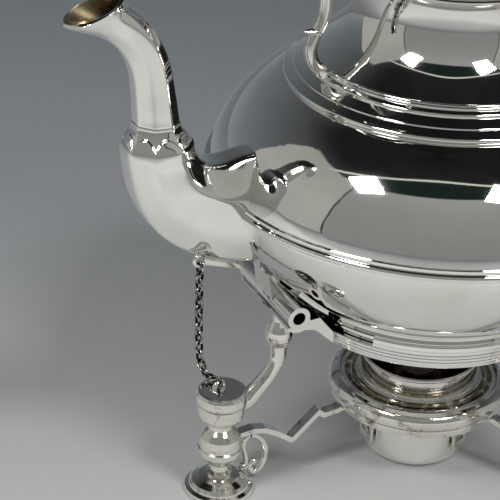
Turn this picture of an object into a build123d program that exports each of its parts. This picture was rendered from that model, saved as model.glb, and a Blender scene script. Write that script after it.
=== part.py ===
"""Spirit kettle on a three-legged stand: kettle hinged to the stand, hinged lid, bayonet lamp, chained pins.

Frame: +Z up, the floor at Z = 0, the kettle's axis on the Z axis, the spout along -X. Millimetres.
"""
from build123d import *
import math
import os

# ---------------------------------------------------------------- driving dimensions
# fits
RUN_CLEAR = 0.05          # radial clearance of a pin in its bore
SIDE_CLEAR = 0.15         # clearance between knuckles, and between a moving part and its neighbour
SEAT_CLEAR = 0.05         # gap between two faces that only rest on each other
SOLDER_GAP = 0.02         # between a mount and the curved sheet it is soldered to
FRAME_X = 29.8            # the kettle's axis stands this far in +X of the middle of the whole object

# kettle body
WALL = 1.4                # raised silver sheet of the bowls, neck and lid
GIRDLE_R = 91.0           # widest radius of the bowls, under the girdle band
GIRDLE_Z = 131.0          # height of the widest point
BASE_TOP_R = 58.4         # reeded moulding round the kettle's base
BOWL_FOOT_R = BASE_TOP_R - 1.4   # where the lower bowl meets that moulding
BOWL_FOOT_Z = 85.0
SHOULDER_R = 62.0         # where the upper bowl meets the shoulder moulding
SHOULDER_Z = 170.2
UPPER_FULLNESS = (1.9, 1.25)
LOWER_FULLNESS = (1.6, 1.12)
GIRDLE_BAND_H = 5.6       # height of the band that covers the joint of the bowls
GIRDLE_BEAD_R = 1.5
BASE_RIM_R = BASE_TOP_R - 2.6    # rim that stands inside the gallery
BASE_RIM_T = 3.6
BASE_FLOOR_Z = 80.0       # underside of the kettle's flat bottom

# neck and lid
NECK_FOOT_R = 52.8
NECK_FOOT_Z = 181.1
NECK_WAIST_R = 36.8
NECK_WAIST_Z = 205.5
NECK_TOP_R = 38.8
NECK_TOP_Z = 214.0
RIM_REACH = 1.8           # the moulded lid seat stands this far outside the neck's top
RIM_R = NECK_TOP_R + RIM_REACH
RIM_H = 4.2
LID_FLANGE_T = 1.6
LID_DOME_H = 15.0
LID_PLUG_DEPTH = 3.8      # bezel of the lid inside its seat
FINIAL_H = 20.0
LID_HINGE_R = 2.1         # outer radius of the lid's knuckles
LID_PIN_R = 1.0
LID_HINGE_LENGTH = 18.0
LID_HINGE_AZ = 90.0       # the lid's hinge is on the +Y side, square to the handle

# handle
HANDLE_FOOT_X = NECK_FOOT_R + 1.4    # distance of a bracket's foot from the axis
HANDLE_BOW = 8.5          # the bracket swings this far out beyond its foot
HANDLE_WIRE_R = 2.3
GRIP_Z = 318.0
GRIP_HALF = 36.0
GRIP_R = 8.2
GRIP_END_R = 6.0
FERRULE_L = 9.0
RIVET_R = 0.9

# spout
SPOUT_WALL = 1.4
SPOUT_SIDES = 8
STRAINER_HOLE_R = 2.6
STRAINER_PITCH = 8.2

# kettle hinges (front at -X, rear at +X)
HINGE_OUT = 11.6          # the hinge lines lie this far outside the base moulding
HINGE_X = BASE_TOP_R + HINGE_OUT
HINGE_Z = 87.5
KNUCKLE_R = 4.7
KNUCKLE_L = 14.6
PIN_R = 2.6
SADDLE_T = 1.1            # trough below the barrel that ties the two stand knuckles together
SADDLE_GAP = 0.3          # between the kettle's knuckle and that trough
LUG_PLATE_T = 1.2         # plate soldered to the bowl above the barrel
PIN_INSERT = 37.0         # length of pin inside the barrel when pushed home
PIN_DRAW = 24.0           # travel that frees the kettle's knuckle
PIN_HEAD_R = 4.0
PIN_HEAD_T = 2.0
EYE_X = HINGE_X + 22.0    # centre of the pin's eye
EYE_Z = HINGE_Z + 7.0
EYE_R = 2.4               # middle radius of the eye
EYE_WIRE_R = 0.9

# stand
GALLERY_T = 1.6
GALLERY_CLEAR = 0.6       # between the kettle's rim and the gallery
RING_R = BASE_RIM_R + GALLERY_CLEAR + GALLERY_T   # outer radius of the gallery
RING_BOTTOM_R = RING_R - 3.8
RING_BOTTOM_Z = 70.3
LEDGE_Z = 76.0            # the kettle's base rim rests here
LEDGE_R = RING_R - 10.0
GALLERY_BOTTOM_Z = 78.0
GALLERY_TOP_Z = 81.9
GALLERY_GAP_DEG = 39.0    # the gallery is cut away this far each side of a hinge
LEG_COUNT = 3
LEG_X = HINGE_X - 2.5     # radius of the legs' caps
CAP_R = 5.6
CAP_BOTTOM_Z = 65.0
LEG_W = 7.4               # leg section across its plane
LEG_T = 6.4
LEG_REACH = 23.7          # the feet stand this far outside the caps
FOOT_X = LEG_X + LEG_REACH
FOOT_TOP_Z = 47.6
FOOT_BLOCK_R = 10.4
KNOP_R = 9.1
KNOP_Z = 20.5
FOOT_BASE_R = 14.2
ARM_LOW_Z = 16.2          # lowest point of a stretcher arm
ARM_W = 4.4
ARM_T = 2.2
SCROLL_W = 7.7            # the scroll's width and height
SCROLL_H = 18.6
SCROLL_WIRE_R = 1.3
STAPLE_WIRE_R = 0.9
STAPLE_R = 2.6
STAPLE_OUT = 0.6          # the staple's place on the front foot's block
STAPLE_Y = 1.9
STAPLE_AZ = 20.0

# lamp and its holder
HOLDER_R = 38.4
HOLDER_TOP_Z = 36.4
HOLDER_BOTTOM_Z = 24.5
HOLDER_GROOVE_Z = 29.3
HOLDER_LEDGE_Z = 33.6
PLATE_R = 32.8            # the lamp's plate, inside the holder's rim
PLATE_GAP = 0.5
RESERVOIR_R = 21.5
RESERVOIR_BOTTOM_Z = 0.8
RESERVOIR_GAP = 0.8       # between the reservoir and the holder's bore
COLLAR_R = 24.3
COLLAR_BORE_R = 22.8
COLLAR_TOP_Z = 45.3
BURNER_R = 10.0
WICK_TUBE_R = 7.0
WICK_TUBE_H = 3.6         # height of the tube above the holder's ledge
TAB_COUNT = 3
TAB_T = 1.3
TAB_EDGE = 1.6            # metal left beside the slot
TAB_BOTTOM_Z = 7.0
TAB_AZ = 183.0            # first tab, in degrees from +X
STUD_R = 1.1
STUD_Z = 12.0
SLOT_CLEAR = 0.35
LAMP_TWIST = 9.0          # degrees from under the open slot to the end of its foot

# chain
LINK_WIRE_R = 0.42
LINK_LENGTH = 5.6
LINK_WIDTH = 3.3
LINK_PITCH = 3.8          # the links' inner length less a little slack
JUMP_R = 2.0              # middle radius of the rings at the chain's ends
JUMP_WIRE_R = 0.45
CHAIN_SAG = 14.5          # how far out from the staple the slack chain hangs

NODES = {}


def keep(name, shape):
    """Files a finished sub-part under its node name."""
    NODES[name] = shape
    return shape


# ---------------------------------------------------------------- helpers
def meridian(points):
    """Closed flat profile in the XZ plane through (radius, height) points."""
    return make_face(Polyline(*[(r, 0, z) for r, z in points], close=True))


def turned(points):
    """Solid of revolution about the Z axis of a polygonal meridian."""
    return revolve(meridian(points), Axis.Z, 360)


def turned_curve(outer, inner):
    """Shell of revolution between two smooth meridians, given from bottom to top."""
    a = Spline(*[(r, 0, z) for r, z in outer])
    b = Spline(*[(r, 0, z) for r, z in inner])
    ends = [Line(a @ 0, b @ 0), Line(a @ 1, b @ 1)]
    return revolve(make_face([a, b] + ends), Axis.Z, 360)


def inset(points, depth):
    """The same open meridian moved inwards by depth along its own normals."""
    moved = []
    last = len(points) - 1
    for i, (r, z) in enumerate(points):
        r0, z0 = points[max(i - 1, 0)]
        r1, z1 = points[min(i + 1, last)]
        length = math.hypot(r1 - r0, z1 - z0)
        moved.append((r - depth * (z1 - z0) / length, z + depth * (r1 - r0) / length))
    return moved


def rod(start, end, radius):
    """Round bar between two points."""
    a, b = Vector(*start), Vector(*end)
    return Solid.make_cylinder(radius, (b - a).length, Plane(origin=a, z_dir=b - a))


def around(shape, degrees):
    """The shape turned about the kettle's axis."""
    return Rot(0, 0, degrees) * shape


def y_bar(x, z, radius, y0, y1):
    """Round bar along Y."""
    return rod((x, y0, z), (x, y1, z), radius)


def slab(outline, y0, y1):
    """Plate between y0 and y1 with the given (x, z) outline."""
    face = make_face(Polyline(*[(x, y1, z) for x, z in outline], close=True))
    return extrude(face, y1 - y0, dir=(0, -1, 0))


# ---------------------------------------------------------------- kettle body
def bowl_curve(foot_r, foot_z, fullness, count=9):
    """Meridian from the girdle to a bowl's foot, a rounded power curve."""
    p, q = fullness
    points = []
    for i in range(count):
        t = math.sin(0.5 * math.pi * i / (count - 1))
        reach = (1 - t ** p) ** (1 / q)
        points.append((foot_r + (GIRDLE_R - foot_r) * reach, GIRDLE_Z + (foot_z - GIRDLE_Z) * t))
    return points


def lower_curve():
    return bowl_curve(BOWL_FOOT_R, BOWL_FOOT_Z, LOWER_FULLNESS)[::-1]


def upper_curve():
    return bowl_curve(SHOULDER_R, SHOULDER_Z, UPPER_FULLNESS)


def bowl_envelope():
    """Everything inside the bowls' outer face and a hair more, used to fit what is soldered to them."""
    a = Spline(*[(r, 0, z) for r, z in grown(lower_curve())])
    b = Spline(*[(r, 0, z) for r, z in grown(upper_curve())])
    top = Vector(0, 0, (b @ 1).Z)
    bottom = Vector(0, 0, (a @ 0).Z)
    edges = [a, b, Line(b @ 1, top), Line(top, bottom), Line(bottom, a @ 0)]
    return revolve(make_face(edges), Axis.Z, 360)


def grown(points):
    """Meridian moved outwards by the solder gap, its girdle end kept level."""
    moved = inset(points, -SOLDER_GAP)
    return [(GIRDLE_R + SOLDER_GAP, GIRDLE_Z) if p == points.index((GIRDLE_R, GIRDLE_Z)) else q
            for p, q in enumerate(moved)]


def strainer_holes():
    """Pattern of drilled holes where the spout joins the bowls: two rings above and below the girdle."""
    holes = []
    for row in (-2, -1, 1, 2):
        count = 3 if abs(row) == 1 else 2
        for i in range(count):
            y = (i - 0.5 * (count - 1)) * STRAINER_PITCH
            z = GIRDLE_Z - 2.0 + row * STRAINER_PITCH * 0.75
            holes.append(rod((-GIRDLE_R - 8, y, z), (-GIRDLE_R + 30, y, z), STRAINER_HOLE_R))
    return holes


def lower_bowl():
    curve = lower_curve()
    inner = inset(curve, WALL)
    inner[-1] = (GIRDLE_R - WALL, GIRDLE_Z)
    inner[0] = (curve[0][0] - 1.8 * WALL, BOWL_FOOT_Z)
    bowl = turned_curve(curve, inner)
    return bowl - strainer_holes()


def upper_bowl():
    curve = upper_curve()
    inner = inset(curve, WALL)
    inner[0] = (GIRDLE_R - WALL, GIRDLE_Z)
    inner[-1] = (SHOULDER_R - 2.2 * WALL, SHOULDER_Z)
    return turned_curve(curve, inner) - strainer_holes()


def kettle_base():
    """Flat bottom, reeded moulding and the rim that stands on the ledge inside the gallery."""
    top = BOWL_FOOT_Z
    reed = 1.9
    inner_r = BASE_RIM_R - BASE_RIM_T
    bottom = LEDGE_Z + SEAT_CLEAR
    moulding_z = GALLERY_TOP_Z + 0.2
    points = [
        (0, BASE_FLOOR_Z), (inner_r, BASE_FLOOR_Z), (inner_r, bottom), (BASE_RIM_R - 0.6, bottom),
        (BASE_RIM_R, bottom + 0.6), (BASE_RIM_R, moulding_z), (BASE_TOP_R - 0.7, moulding_z),
        (BASE_TOP_R, moulding_z + 0.5 * reed), (BASE_TOP_R - 0.8, moulding_z + 0.9 * reed),
        (BASE_TOP_R - 0.3, top - 0.5), (BOWL_FOOT_R, top), (BOWL_FOOT_R - 1.8 * WALL, top),
        (BOWL_FOOT_R - 4.0, BASE_FLOOR_Z + 1.6 * WALL), (0, BASE_FLOOR_Z + WALL),
    ]
    return turned(points)


def girdle_band(spout_solid):
    """Moulded band over the joint of the bowls: a bead between two flat edges."""
    h = 0.5 * GIRDLE_BAND_H
    r = GIRDLE_R
    bead = GIRDLE_BEAD_R
    flat = 0.9
    start = Vector(r + flat, 0, GIRDLE_Z - bead)
    crown = Vector(r + flat + bead, 0, GIRDLE_Z)
    end = Vector(r + flat, 0, GIRDLE_Z + bead)
    arc = ThreePointArc(start, crown, end)
    rest = Polyline(end, (r + flat, 0, GIRDLE_Z + h), (r - 2, 0, GIRDLE_Z + h + 0.3),
                    (r - 2, 0, GIRDLE_Z - h - 0.3), (r + flat, 0, GIRDLE_Z - h), start)
    band = revolve(make_face([arc, rest]), Axis.Z, 360) - bowl_envelope()
    return band - spout_solid


# The shoulder moulding's face: inwards and upwards shares of its width and height, from its rim to the neck's foot.
# A bold rim bead, a cove, a reed, a broad band and two fine reeds.
MOULDING_FACE = [
    (0.0, 0.0), (-0.07, 0.11), (-0.03, 0.21), (0.08, 0.255), (0.27, 0.27), (0.4, 0.345), (0.375, 0.42),
    (0.45, 0.49), (0.58, 0.535), (0.57, 0.62), (0.635, 0.7), (0.835, 0.765), (0.825, 0.835), (0.885, 0.9),
    (0.93, 0.92), (0.95, 0.97), (1.0, 1.0),
]
MOULDING_OUT = 1.2         # the rim bead starts this far outside the shoulder
# The neck's flare: shares of the way out from its waist to its foot, and up from its foot to its waist.
NECK_FLARE = [(1.0, 0.0), (0.888, 0.061), (0.644, 0.205), (0.481, 0.307), (0.344, 0.41), (0.206, 0.533), (0.106, 0.656),
              (0.044, 0.779), (0.0, 1.0)]


def shoulder_moulding():
    """Applied reeded mount that carries the neck on the upper bowl."""
    seat = SHOULDER_Z - 3.0
    rim_r = SHOULDER_R + MOULDING_OUT
    width, height = rim_r - NECK_FOOT_R, NECK_FOOT_Z - SHOULDER_Z
    face = [(rim_r - i * width, SHOULDER_Z + u * height) for i, u in MOULDING_FACE]
    inner_r = NECK_FOOT_R - WALL - 1.0
    points = [(rim_r - 0.2, seat)] + face + [(inner_r, NECK_FOOT_Z)]
    points += [(inner_r, NECK_FOOT_Z - 2.4), (SHOULDER_R - 3.2, SHOULDER_Z - 0.01), (SHOULDER_R - 3.2, seat)]
    ring = turned(points)
    return ring - bowl_envelope()


def neck_curve():
    """Concave meridian of the neck, flaring to its foot."""
    out, rise = NECK_FOOT_R - NECK_WAIST_R, NECK_WAIST_Z - NECK_FOOT_Z
    flare = [(NECK_WAIST_R + r * out, NECK_FOOT_Z + z * rise) for r, z in NECK_FLARE]
    return flare + [(NECK_TOP_R, NECK_TOP_Z)]


def neck_envelope():
    """Everything inside the neck's outer face and a hair more, used to fit the handle's feet."""
    side = Spline(*[(r + SOLDER_GAP, 0, z) for r, z in neck_curve()])
    top, bottom = (0, 0, NECK_TOP_Z), (0, 0, NECK_FOOT_Z)
    face = make_face([side, Line(side @ 1, top), Line(top, bottom), Line(bottom, side @ 0)])
    return revolve(face, Axis.Z, 360)


def neck():
    curve = neck_curve()
    inner = [(r - WALL, z) for r, z in curve]
    return turned_curve(curve, inner)


def lid_hinge_x():
    return RIM_R + LID_HINGE_R + 0.6


def lid_hinge_z():
    return NECK_TOP_Z + RIM_H + SIDE_CLEAR


def lid_seat():
    """Moulded rim on top of the neck, with the outer knuckles of the lid's hinge at +X."""
    z = NECK_TOP_Z
    top = z + RIM_H
    bore = NECK_TOP_R - WALL
    ring = turned([
        (bore, z), (NECK_TOP_R + 0.2, z), (RIM_R - 0.5, z + 0.5), (RIM_R, z + 1.2), (RIM_R - 0.8, z + 2.0),
        (RIM_R - 0.2, z + 2.4), (RIM_R - 0.2, top - 0.4), (RIM_R - 0.7, top), (bore, top),
    ])
    third = LID_HINGE_LENGTH / 3
    knuckles = []
    for side in (-1, 1):
        y0 = side * (0.5 * third + 0.5 * SIDE_CLEAR)
        y1 = side * 1.5 * third
        barrel = y_bar(lid_hinge_x(), lid_hinge_z(), LID_HINGE_R, y0, y1)
        web = Pos(RIM_R - 0.6, 0.5 * (y0 + y1), top - 1.7) * Box(2.6, abs(y1 - y0), 2.2)
        web = web + Pos(lid_hinge_x() - 1.6, 0.5 * (y0 + y1), top - 1.7) * Box(2.8, abs(y1 - y0), 2.2)
        knuckles.append(barrel + web)
    bore_cut = y_bar(lid_hinge_x(), lid_hinge_z(), LID_PIN_R, -LID_HINGE_LENGTH, LID_HINGE_LENGTH)
    inside = Pos(0, 0, z + 5) * Cylinder(bore, 30)
    return ring + (knuckles[0] + knuckles[1] - inside) - bore_cut


def lid():
    """Domed lid: flange, stepped dome and the bezel that drops into the neck, with its own knuckle."""
    z = NECK_TOP_Z + RIM_H + SEAT_CLEAR
    flange_top = z + LID_FLANGE_T
    bezel_r = NECK_TOP_R - WALL - 0.5
    dome_r = RIM_R - 4.4
    crown = flange_top + LID_DOME_H
    dome_z = flange_top + 1.9
    outer = [(RIM_R - 0.4, z), (RIM_R, z + 0.6), (RIM_R - 0.5, flange_top), (dome_r + 1.6, flange_top + 0.5),
             (dome_r + 1.2, flange_top + 1.6)]
    steps = 7
    for i in range(steps + 1):
        a = 0.5 * math.pi * i / steps
        outer.append((dome_r * max(math.cos(a), 0.0) ** 0.9, dome_z + (crown - dome_z) * math.sin(a)))
    outer[-1] = (0, crown)
    inner = [(0, crown - WALL)]
    for i in range(steps - 1, -1, -1):
        a = 0.5 * math.pi * i / steps
        inner.append(((dome_r - WALL) * math.cos(a) ** 0.9, dome_z + (crown - WALL - dome_z) * math.sin(a)))
    inner[-1] = (bezel_r - WALL, flange_top + 0.6)
    inner += [(bezel_r - WALL, z - LID_PLUG_DEPTH), (bezel_r, z - LID_PLUG_DEPTH), (bezel_r, z)]
    shell = turned(outer + inner)
    third = LID_HINGE_LENGTH / 3
    half = 0.5 * third - 0.5 * SIDE_CLEAR
    barrel = y_bar(lid_hinge_x(), lid_hinge_z(), LID_HINGE_R, -half, half)
    strap = Pos(RIM_R - 0.2, 0, z + 0.5 * LID_FLANGE_T + 0.2) * Box(6.0, 2 * half, LID_FLANGE_T)
    bore_cut = y_bar(lid_hinge_x(), lid_hinge_z(), LID_PIN_R + RUN_CLEAR, -half - 1, half + 1)
    inside = Pos(0, 0, z - LID_PLUG_DEPTH) * Cylinder(RIM_R - 1.0, 40)
    clear_rim = Pos(0, 0, z - 0.5 * RIM_H - SEAT_CLEAR) * Cylinder(RIM_R + SIDE_CLEAR, RIM_H)
    knuckle = (barrel + (strap - inside)) - clear_rim
    return shell + knuckle - bore_cut


def lid_hinge_pin():
    """Pin held in the seat's knuckles, with a small bead at each end."""
    half = 0.5 * LID_HINGE_LENGTH
    pin = y_bar(lid_hinge_x(), lid_hinge_z(), LID_PIN_R, -half, half)
    for side in (-1, 1):
        bead = Pos(lid_hinge_x(), side * (half + 0.5), lid_hinge_z()) * Rot(90, 0, 0) * Cylinder(1.5, 1.0)
        pin = pin + bead
    return pin


def lid_crown_z():
    return NECK_TOP_Z + RIM_H + SEAT_CLEAR + LID_FLANGE_T + LID_DOME_H


def finial_base():
    """Silver collar between the lid and its knob."""
    z = lid_crown_z() - 1.0
    return turned([(0, z), (7.2, z), (7.2, z + 1.4), (5.6, z + 2.0), (4.2, z + 3.4), (5.2, z + 4.4),
                   (0, z + 4.4)])


def finial_knob():
    """Turned insulated knob, a flattened bun."""
    z = lid_crown_z() + 3.4
    h = FINIAL_H - 8.0
    points = [(0, z), (4.4, z), (4.0, z + 0.12 * h), (6.4, z + 0.3 * h), (8.2, z + 0.5 * h),
              (8.0, z + 0.68 * h), (5.8, z + 0.86 * h), (2.4, z + h), (0, z + h)]
    return turned(points)


def finial_cap():
    """Small silver bead on the bolt that holds the knob."""
    z = lid_crown_z() + 3.4 + FINIAL_H - 8.0
    return turned([(0, z), (2.2, z), (2.5, z + 0.8), (1.8, z + 2.0), (0.8, z + 2.8), (0, z + 3.0)])


# ---------------------------------------------------------------- handle
def bracket_route():
    """Points of a handle bracket in the XZ plane, from its foot on the shoulder to the grip.

    Each is a place outwards from the foot, and a share of the height from the foot to the grip.
    """
    foot_z = NECK_FOOT_Z - 0.9
    rise = GRIP_Z - foot_z
    grip_end = GRIP_HALF + FERRULE_L - 1.0
    bow = HANDLE_BOW
    line = [(0.0, 0.0), (0.38 * bow, 0.013), (0.62 * bow, 0.04), (0.69 * bow, 0.075), (0.49 * bow, 0.108),
            (0.2 * bow, 0.145), (0.09 * bow, 0.185), (0.15 * bow, 0.235), (0.46 * bow, 0.35), (0.85 * bow, 0.5),
            (bow, 0.66), (0.74 * bow, 0.81), (0.02 * bow, 0.93)]
    return [(-HANDLE_FOOT_X - out, foot_z + up * rise) for out, up in line] + [(-grip_end, GRIP_Z)]


def handle_bracket(side):
    """Scrolled bracket with a thumb spur and a leaf-shaped foot; side is 0 for the front, 180 for the rear."""
    route = [(x, 0, z) for x, z in bracket_route()]
    path = Spline(*route)
    start = Plane(origin=path @ 0, z_dir=path % 0)
    bar = sweep(start * Circle(HANDLE_WIRE_R), path=path)
    bend_x, bend_z = bracket_route()[4]
    spur_root = Vector(bend_x + 1.0, 0, bend_z + 0.6)
    spur_tip = Vector(bend_x - 2.2 * HANDLE_WIRE_R, 0, bend_z + 1.6)
    spur_plane = Plane(origin=spur_root, z_dir=spur_tip - spur_root)
    tip_plane = Plane(origin=spur_tip, z_dir=spur_tip - spur_root)
    spur = loft([spur_plane * Ellipse(2.0, 2.6), tip_plane * Ellipse(0.7, 1.0)])
    foot = Pos(-HANDLE_FOOT_X + 1.2, 0, NECK_FOOT_Z - 1.2) * Rot(0, -8, 0) * Cylinder(4.6, 2.6)
    moulding = shoulder_moulding()
    low = NECK_FOOT_Z - 12.0
    inside = turned([(0, low), (NECK_FOOT_R, low), (NECK_FOOT_R, NECK_FOOT_Z), (0, NECK_FOOT_Z)])
    bracket = (bar + spur + foot) - moulding - neck_envelope() - inside - bowl_envelope()
    bracket = bracket - grip_tenon_hole()
    return around(biggest(bracket), side)


def biggest(shape):
    """The largest solid of a shape that a cut has left in pieces."""
    return max(shape.solids(), key=lambda s: s.volume)


def grip_tenon_hole():
    """Room for the ferrule over the end of a bracket."""
    return rod((-GRIP_HALF - FERRULE_L + 1.6, 0, GRIP_Z), (0, 0, GRIP_Z), 20)


def handle_grip():
    """Turned hardwood grip along X, fullest at its middle."""
    stations = 8
    outer = []
    for i in range(stations + 1):
        u = -1 + 2 * i / stations
        outer.append((u * GRIP_HALF, GRIP_END_R + (GRIP_R - GRIP_END_R) * math.cos(0.5 * math.pi * u) ** 1.4))
    curve = Spline(*[(x, 0, GRIP_Z + r) for x, r in outer])
    axis_line = Polyline((GRIP_HALF, 0, GRIP_Z + GRIP_END_R), (GRIP_HALF, 0, GRIP_Z), (-GRIP_HALF, 0, GRIP_Z),
                         (-GRIP_HALF, 0, GRIP_Z + GRIP_END_R))
    body = revolve(make_face([curve, axis_line]), Axis((0, 0, GRIP_Z), (1, 0, 0)), 360)
    return body


def ferrule(side):
    """Silver cup between a bracket and the grip, with a bead at its mouth."""
    x0, x1 = -GRIP_HALF - FERRULE_L + 1.6, -GRIP_HALF
    r = GRIP_END_R
    points = [(x0, 0), (x0, 2.6), (x0 + 1.2, 3.6), (x1 - 2.0, r - 0.4), (x1 - 1.4, r + 0.7), (x1, r + 0.7),
              (x1, 0)]
    face = make_face(Polyline(*[(x, 0, GRIP_Z + h) for x, h in points], close=True))
    cup = revolve(face, Axis((0, 0, GRIP_Z), (1, 0, 0)), 360)
    return around(cup - rivet_bar(x1 - 4.0), side)


def rivet_bar(x):
    return y_bar(x, GRIP_Z, RIVET_R, -20, 20)


def handle_rivets():
    """Silver rivets across both ferrules."""
    x = -GRIP_HALF - 4.0
    half = GRIP_END_R - 0.6
    return Compound([y_bar(side * x, GRIP_Z, RIVET_R, -half, half) for side in (1, -1)])


# ---------------------------------------------------------------- spout
# station: centre x, centre z, direction of the axis in degrees above -X, width in the plane, width across
SPOUT_STATIONS = [
    (-78.0, 129.5, 4.0, 46.0, 25.0),
    (-90.0, 130.5, 8.0, 43.0, 25.5),
    (-102.5, 133.5, 24.0, 37.0, 26.5),
    (-113.5, 141.0, 50.0, 31.0, 26.5),
    (-119.6, 153.0, 78.0, 25.4, 24.0),
    (-121.8, 165.0, 90.0, 20.8, 20.0),
]
NECK_STATIONS = [
    (-121.8, 166.0, 91.0, 16.6, 16.0),
    (-122.6, 177.5, 92.0, 15.4, 15.0),
    (-124.2, 190.0, 84.0, 14.8, 14.2),
    (-128.6, 202.3, 62.0, 14.2, 14.0),
    (-134.9, 209.3, 48.0, 15.0, 15.0),
    (-140.5, 212.8, 55.0, 16.5, 16.5),
    (-146.2, 216.0, 67.0, 24.5, 18.0),
]


def panelled_section(x, z, angle, tall, wide, shrink=0.0):
    """Eight-sided section of the spout, square to its axis, with its flats facing up, down and sideways."""
    a = math.radians(angle)
    along = Vector(-math.cos(a), 0, math.sin(a))
    plane = Plane(origin=(x, 0, z), x_dir=(0, 1, 0), z_dir=along)
    k = math.tan(math.pi / SPOUT_SIDES)
    w, t = 0.5 * wide - shrink, 0.5 * tall - shrink
    a, b = k * w, k * t
    corners = [(w, b), (a, t), (-a, t), (-w, b), (-w, -b), (-a, -t), (a, -t), (w, -b)]
    return plane * make_face(Polyline(*corners, close=True))


def spout_skin(stations, shrink=0.0):
    return loft([panelled_section(*s, shrink) for s in stations])


def extended(stations):
    """The inner skin runs a little past both ends so that the bore is open."""
    first, last = stations[0], stations[-1]
    out = []
    for x, z, angle, tall, wide in (first, last):
        a = math.radians(angle)
        step = -1.5 if (x, z) == first[:2] else 1.5
        out.append((x - step * math.cos(a), z + step * math.sin(a), angle, tall, wide))
    return [out[0]] + stations[1:-1] + [out[1]]


def spout_root():
    """Swollen lower part of the spout, cut to the bowl's face."""
    shell = spout_skin(SPOUT_STATIONS) - spout_skin(extended(SPOUT_STATIONS), SPOUT_WALL)
    return biggest(shell - bowl_envelope())


def spout_band():
    """Raised knuckle band round the top of the swollen part."""
    x, z, angle, tall, wide = SPOUT_STATIONS[-1]
    below = (x + 0.2, z - 6.5, 86.0, tall + 4.6, wide + 3.6)
    middle = (x, z - 0.5, 90.0, tall + 2.2, wide + 1.8)
    top = (x - 0.2, z + 2.6, 91.0, NECK_STATIONS[0][3] + 1.0, NECK_STATIONS[0][4] + 0.8)
    band = loft([panelled_section(*below), panelled_section(*middle), panelled_section(*top)])
    core = spout_skin(SPOUT_STATIONS) + spout_skin(NECK_STATIONS)
    return biggest(band - core)


def spout_neck():
    """Swan-neck with its flared lip."""
    shell = spout_skin(NECK_STATIONS) - spout_skin(extended(NECK_STATIONS), SPOUT_WALL)
    return biggest(shell - spout_skin(SPOUT_STATIONS))


# ---------------------------------------------------------------- kettle hinges
def ring_solid():
    """Lower moulding and ledge of the stand ring, with the gallery wall still whole."""
    r, zb, zg = RING_R, RING_BOTTOM_Z, GALLERY_BOTTOM_Z
    gallery_in = r - GALLERY_T
    return turned([
        (LEDGE_R, LEDGE_Z - 2.2), (LEDGE_R, LEDGE_Z), (gallery_in, LEDGE_Z), (gallery_in, GALLERY_TOP_Z),
        (r, GALLERY_TOP_Z), (r + 0.2, zg + 1.0), (r - 0.6, zg), (r - 0.1, zg - 1.4), (r - 0.9, zg - 2.8),
        (r - 0.8, zg - 4.2), (r - 1.8, zg - 5.0), (r - 1.9, zg - 6.4), (RING_BOTTOM_R + 0.4, zb),
        (RING_BOTTOM_R - 2.0, zb), (RING_BOTTOM_R - 2.0, LEDGE_Z - 2.2),
    ])


def wedge(half_degrees, radius, z0, z1):
    """Sector about +X, from one side of a hinge to the other."""
    a = math.radians(half_degrees)
    corners = [(0, 0), (radius * math.cos(a), -radius * math.sin(a)), (radius * 1.4, 0),
               (radius * math.cos(a), radius * math.sin(a))]
    return extrude(Pos(0, 0, z0) * make_face(Polyline(*corners, close=True)), z1 - z0)


def stand_ring():
    """Ring with its gallery wall cut away beside both hinges."""
    ring = ring_solid()
    for side in (0, 180):
        ring = ring - around(wedge(GALLERY_GAP_DEG, 2 * RING_R, GALLERY_BOTTOM_Z, GALLERY_TOP_Z + 1), side)
    return ring


def knuckle_span(index):
    """Start and end of knuckle -1 (near), 0 (kettle) or 1 (far) along Y."""
    if index == 0:
        return -0.5 * KNUCKLE_L + SIDE_CLEAR, 0.5 * KNUCKLE_L - SIDE_CLEAR
    inner, outer = 0.5 * KNUCKLE_L, 1.5 * KNUCKLE_L
    return (inner, outer) if index > 0 else (-outer, -inner)


def hinge_saddle():
    """Stand's half of a kettle hinge at -X: two knuckles, their lugs to the ring and the trough between them."""
    x, z, r = -HINGE_X, HINGE_Z, KNUCKLE_R
    parts = []
    for index in (-1, 1):
        y0, y1 = knuckle_span(index)
        barrel = y_bar(x, z, r, y0, y1)
        outline = [(x + 1.0, z + 0.7 * r), (x + 5.1, z - 1.7), (x + 9.0, z - 1.4),
                   (-RING_R + 3.5, GALLERY_BOTTOM_Z), (-RING_R + 3.5, zb_lug()), (x + 10.3, z - 8.9),
                   (x + 7.1, z - 6.4), (x - 1.0, z - r)]
        lug = slab(outline, y0, y1)
        parts.append(barrel + lug)
    gap = SADDLE_GAP
    trough = y_bar(x, z, r + gap + SADDLE_T, -1.5 * KNUCKLE_L, 1.5 * KNUCKLE_L)
    trough = trough - y_bar(x, z, r + gap, -0.5 * KNUCKLE_L, 0.5 * KNUCKLE_L)
    keep_box = Pos(x + 0.2, 0, z - 14.0 - 0.72 * r) * Box(11.5, 3 * KNUCKLE_L, 28)
    trough = trough & keep_box
    saddle = parts[0] + parts[1] + trough
    saddle = saddle - y_bar(x, z, PIN_R + RUN_CLEAR, -2 * KNUCKLE_L, 2 * KNUCKLE_L)
    room = y_bar(x, z, r + gap, -0.5 * KNUCKLE_L, 0.5 * KNUCKLE_L)
    return biggest(saddle - room - ring_solid() - base_space())


def base_space():
    """Room of the kettle's base inside the gallery and of its moulding above it."""
    low = Pos(0, 0, LEDGE_Z + 10.0) * Cylinder(RING_R - GALLERY_T, 20.0)
    high = Pos(0, 0, GALLERY_TOP_Z + 10.0) * Cylinder(BASE_TOP_R + 0.5, 20.0)
    return low + high


def zb_lug():
    """Lowest point where a hinge lug meets the ring."""
    return GALLERY_BOTTOM_Z - 4.6


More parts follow.
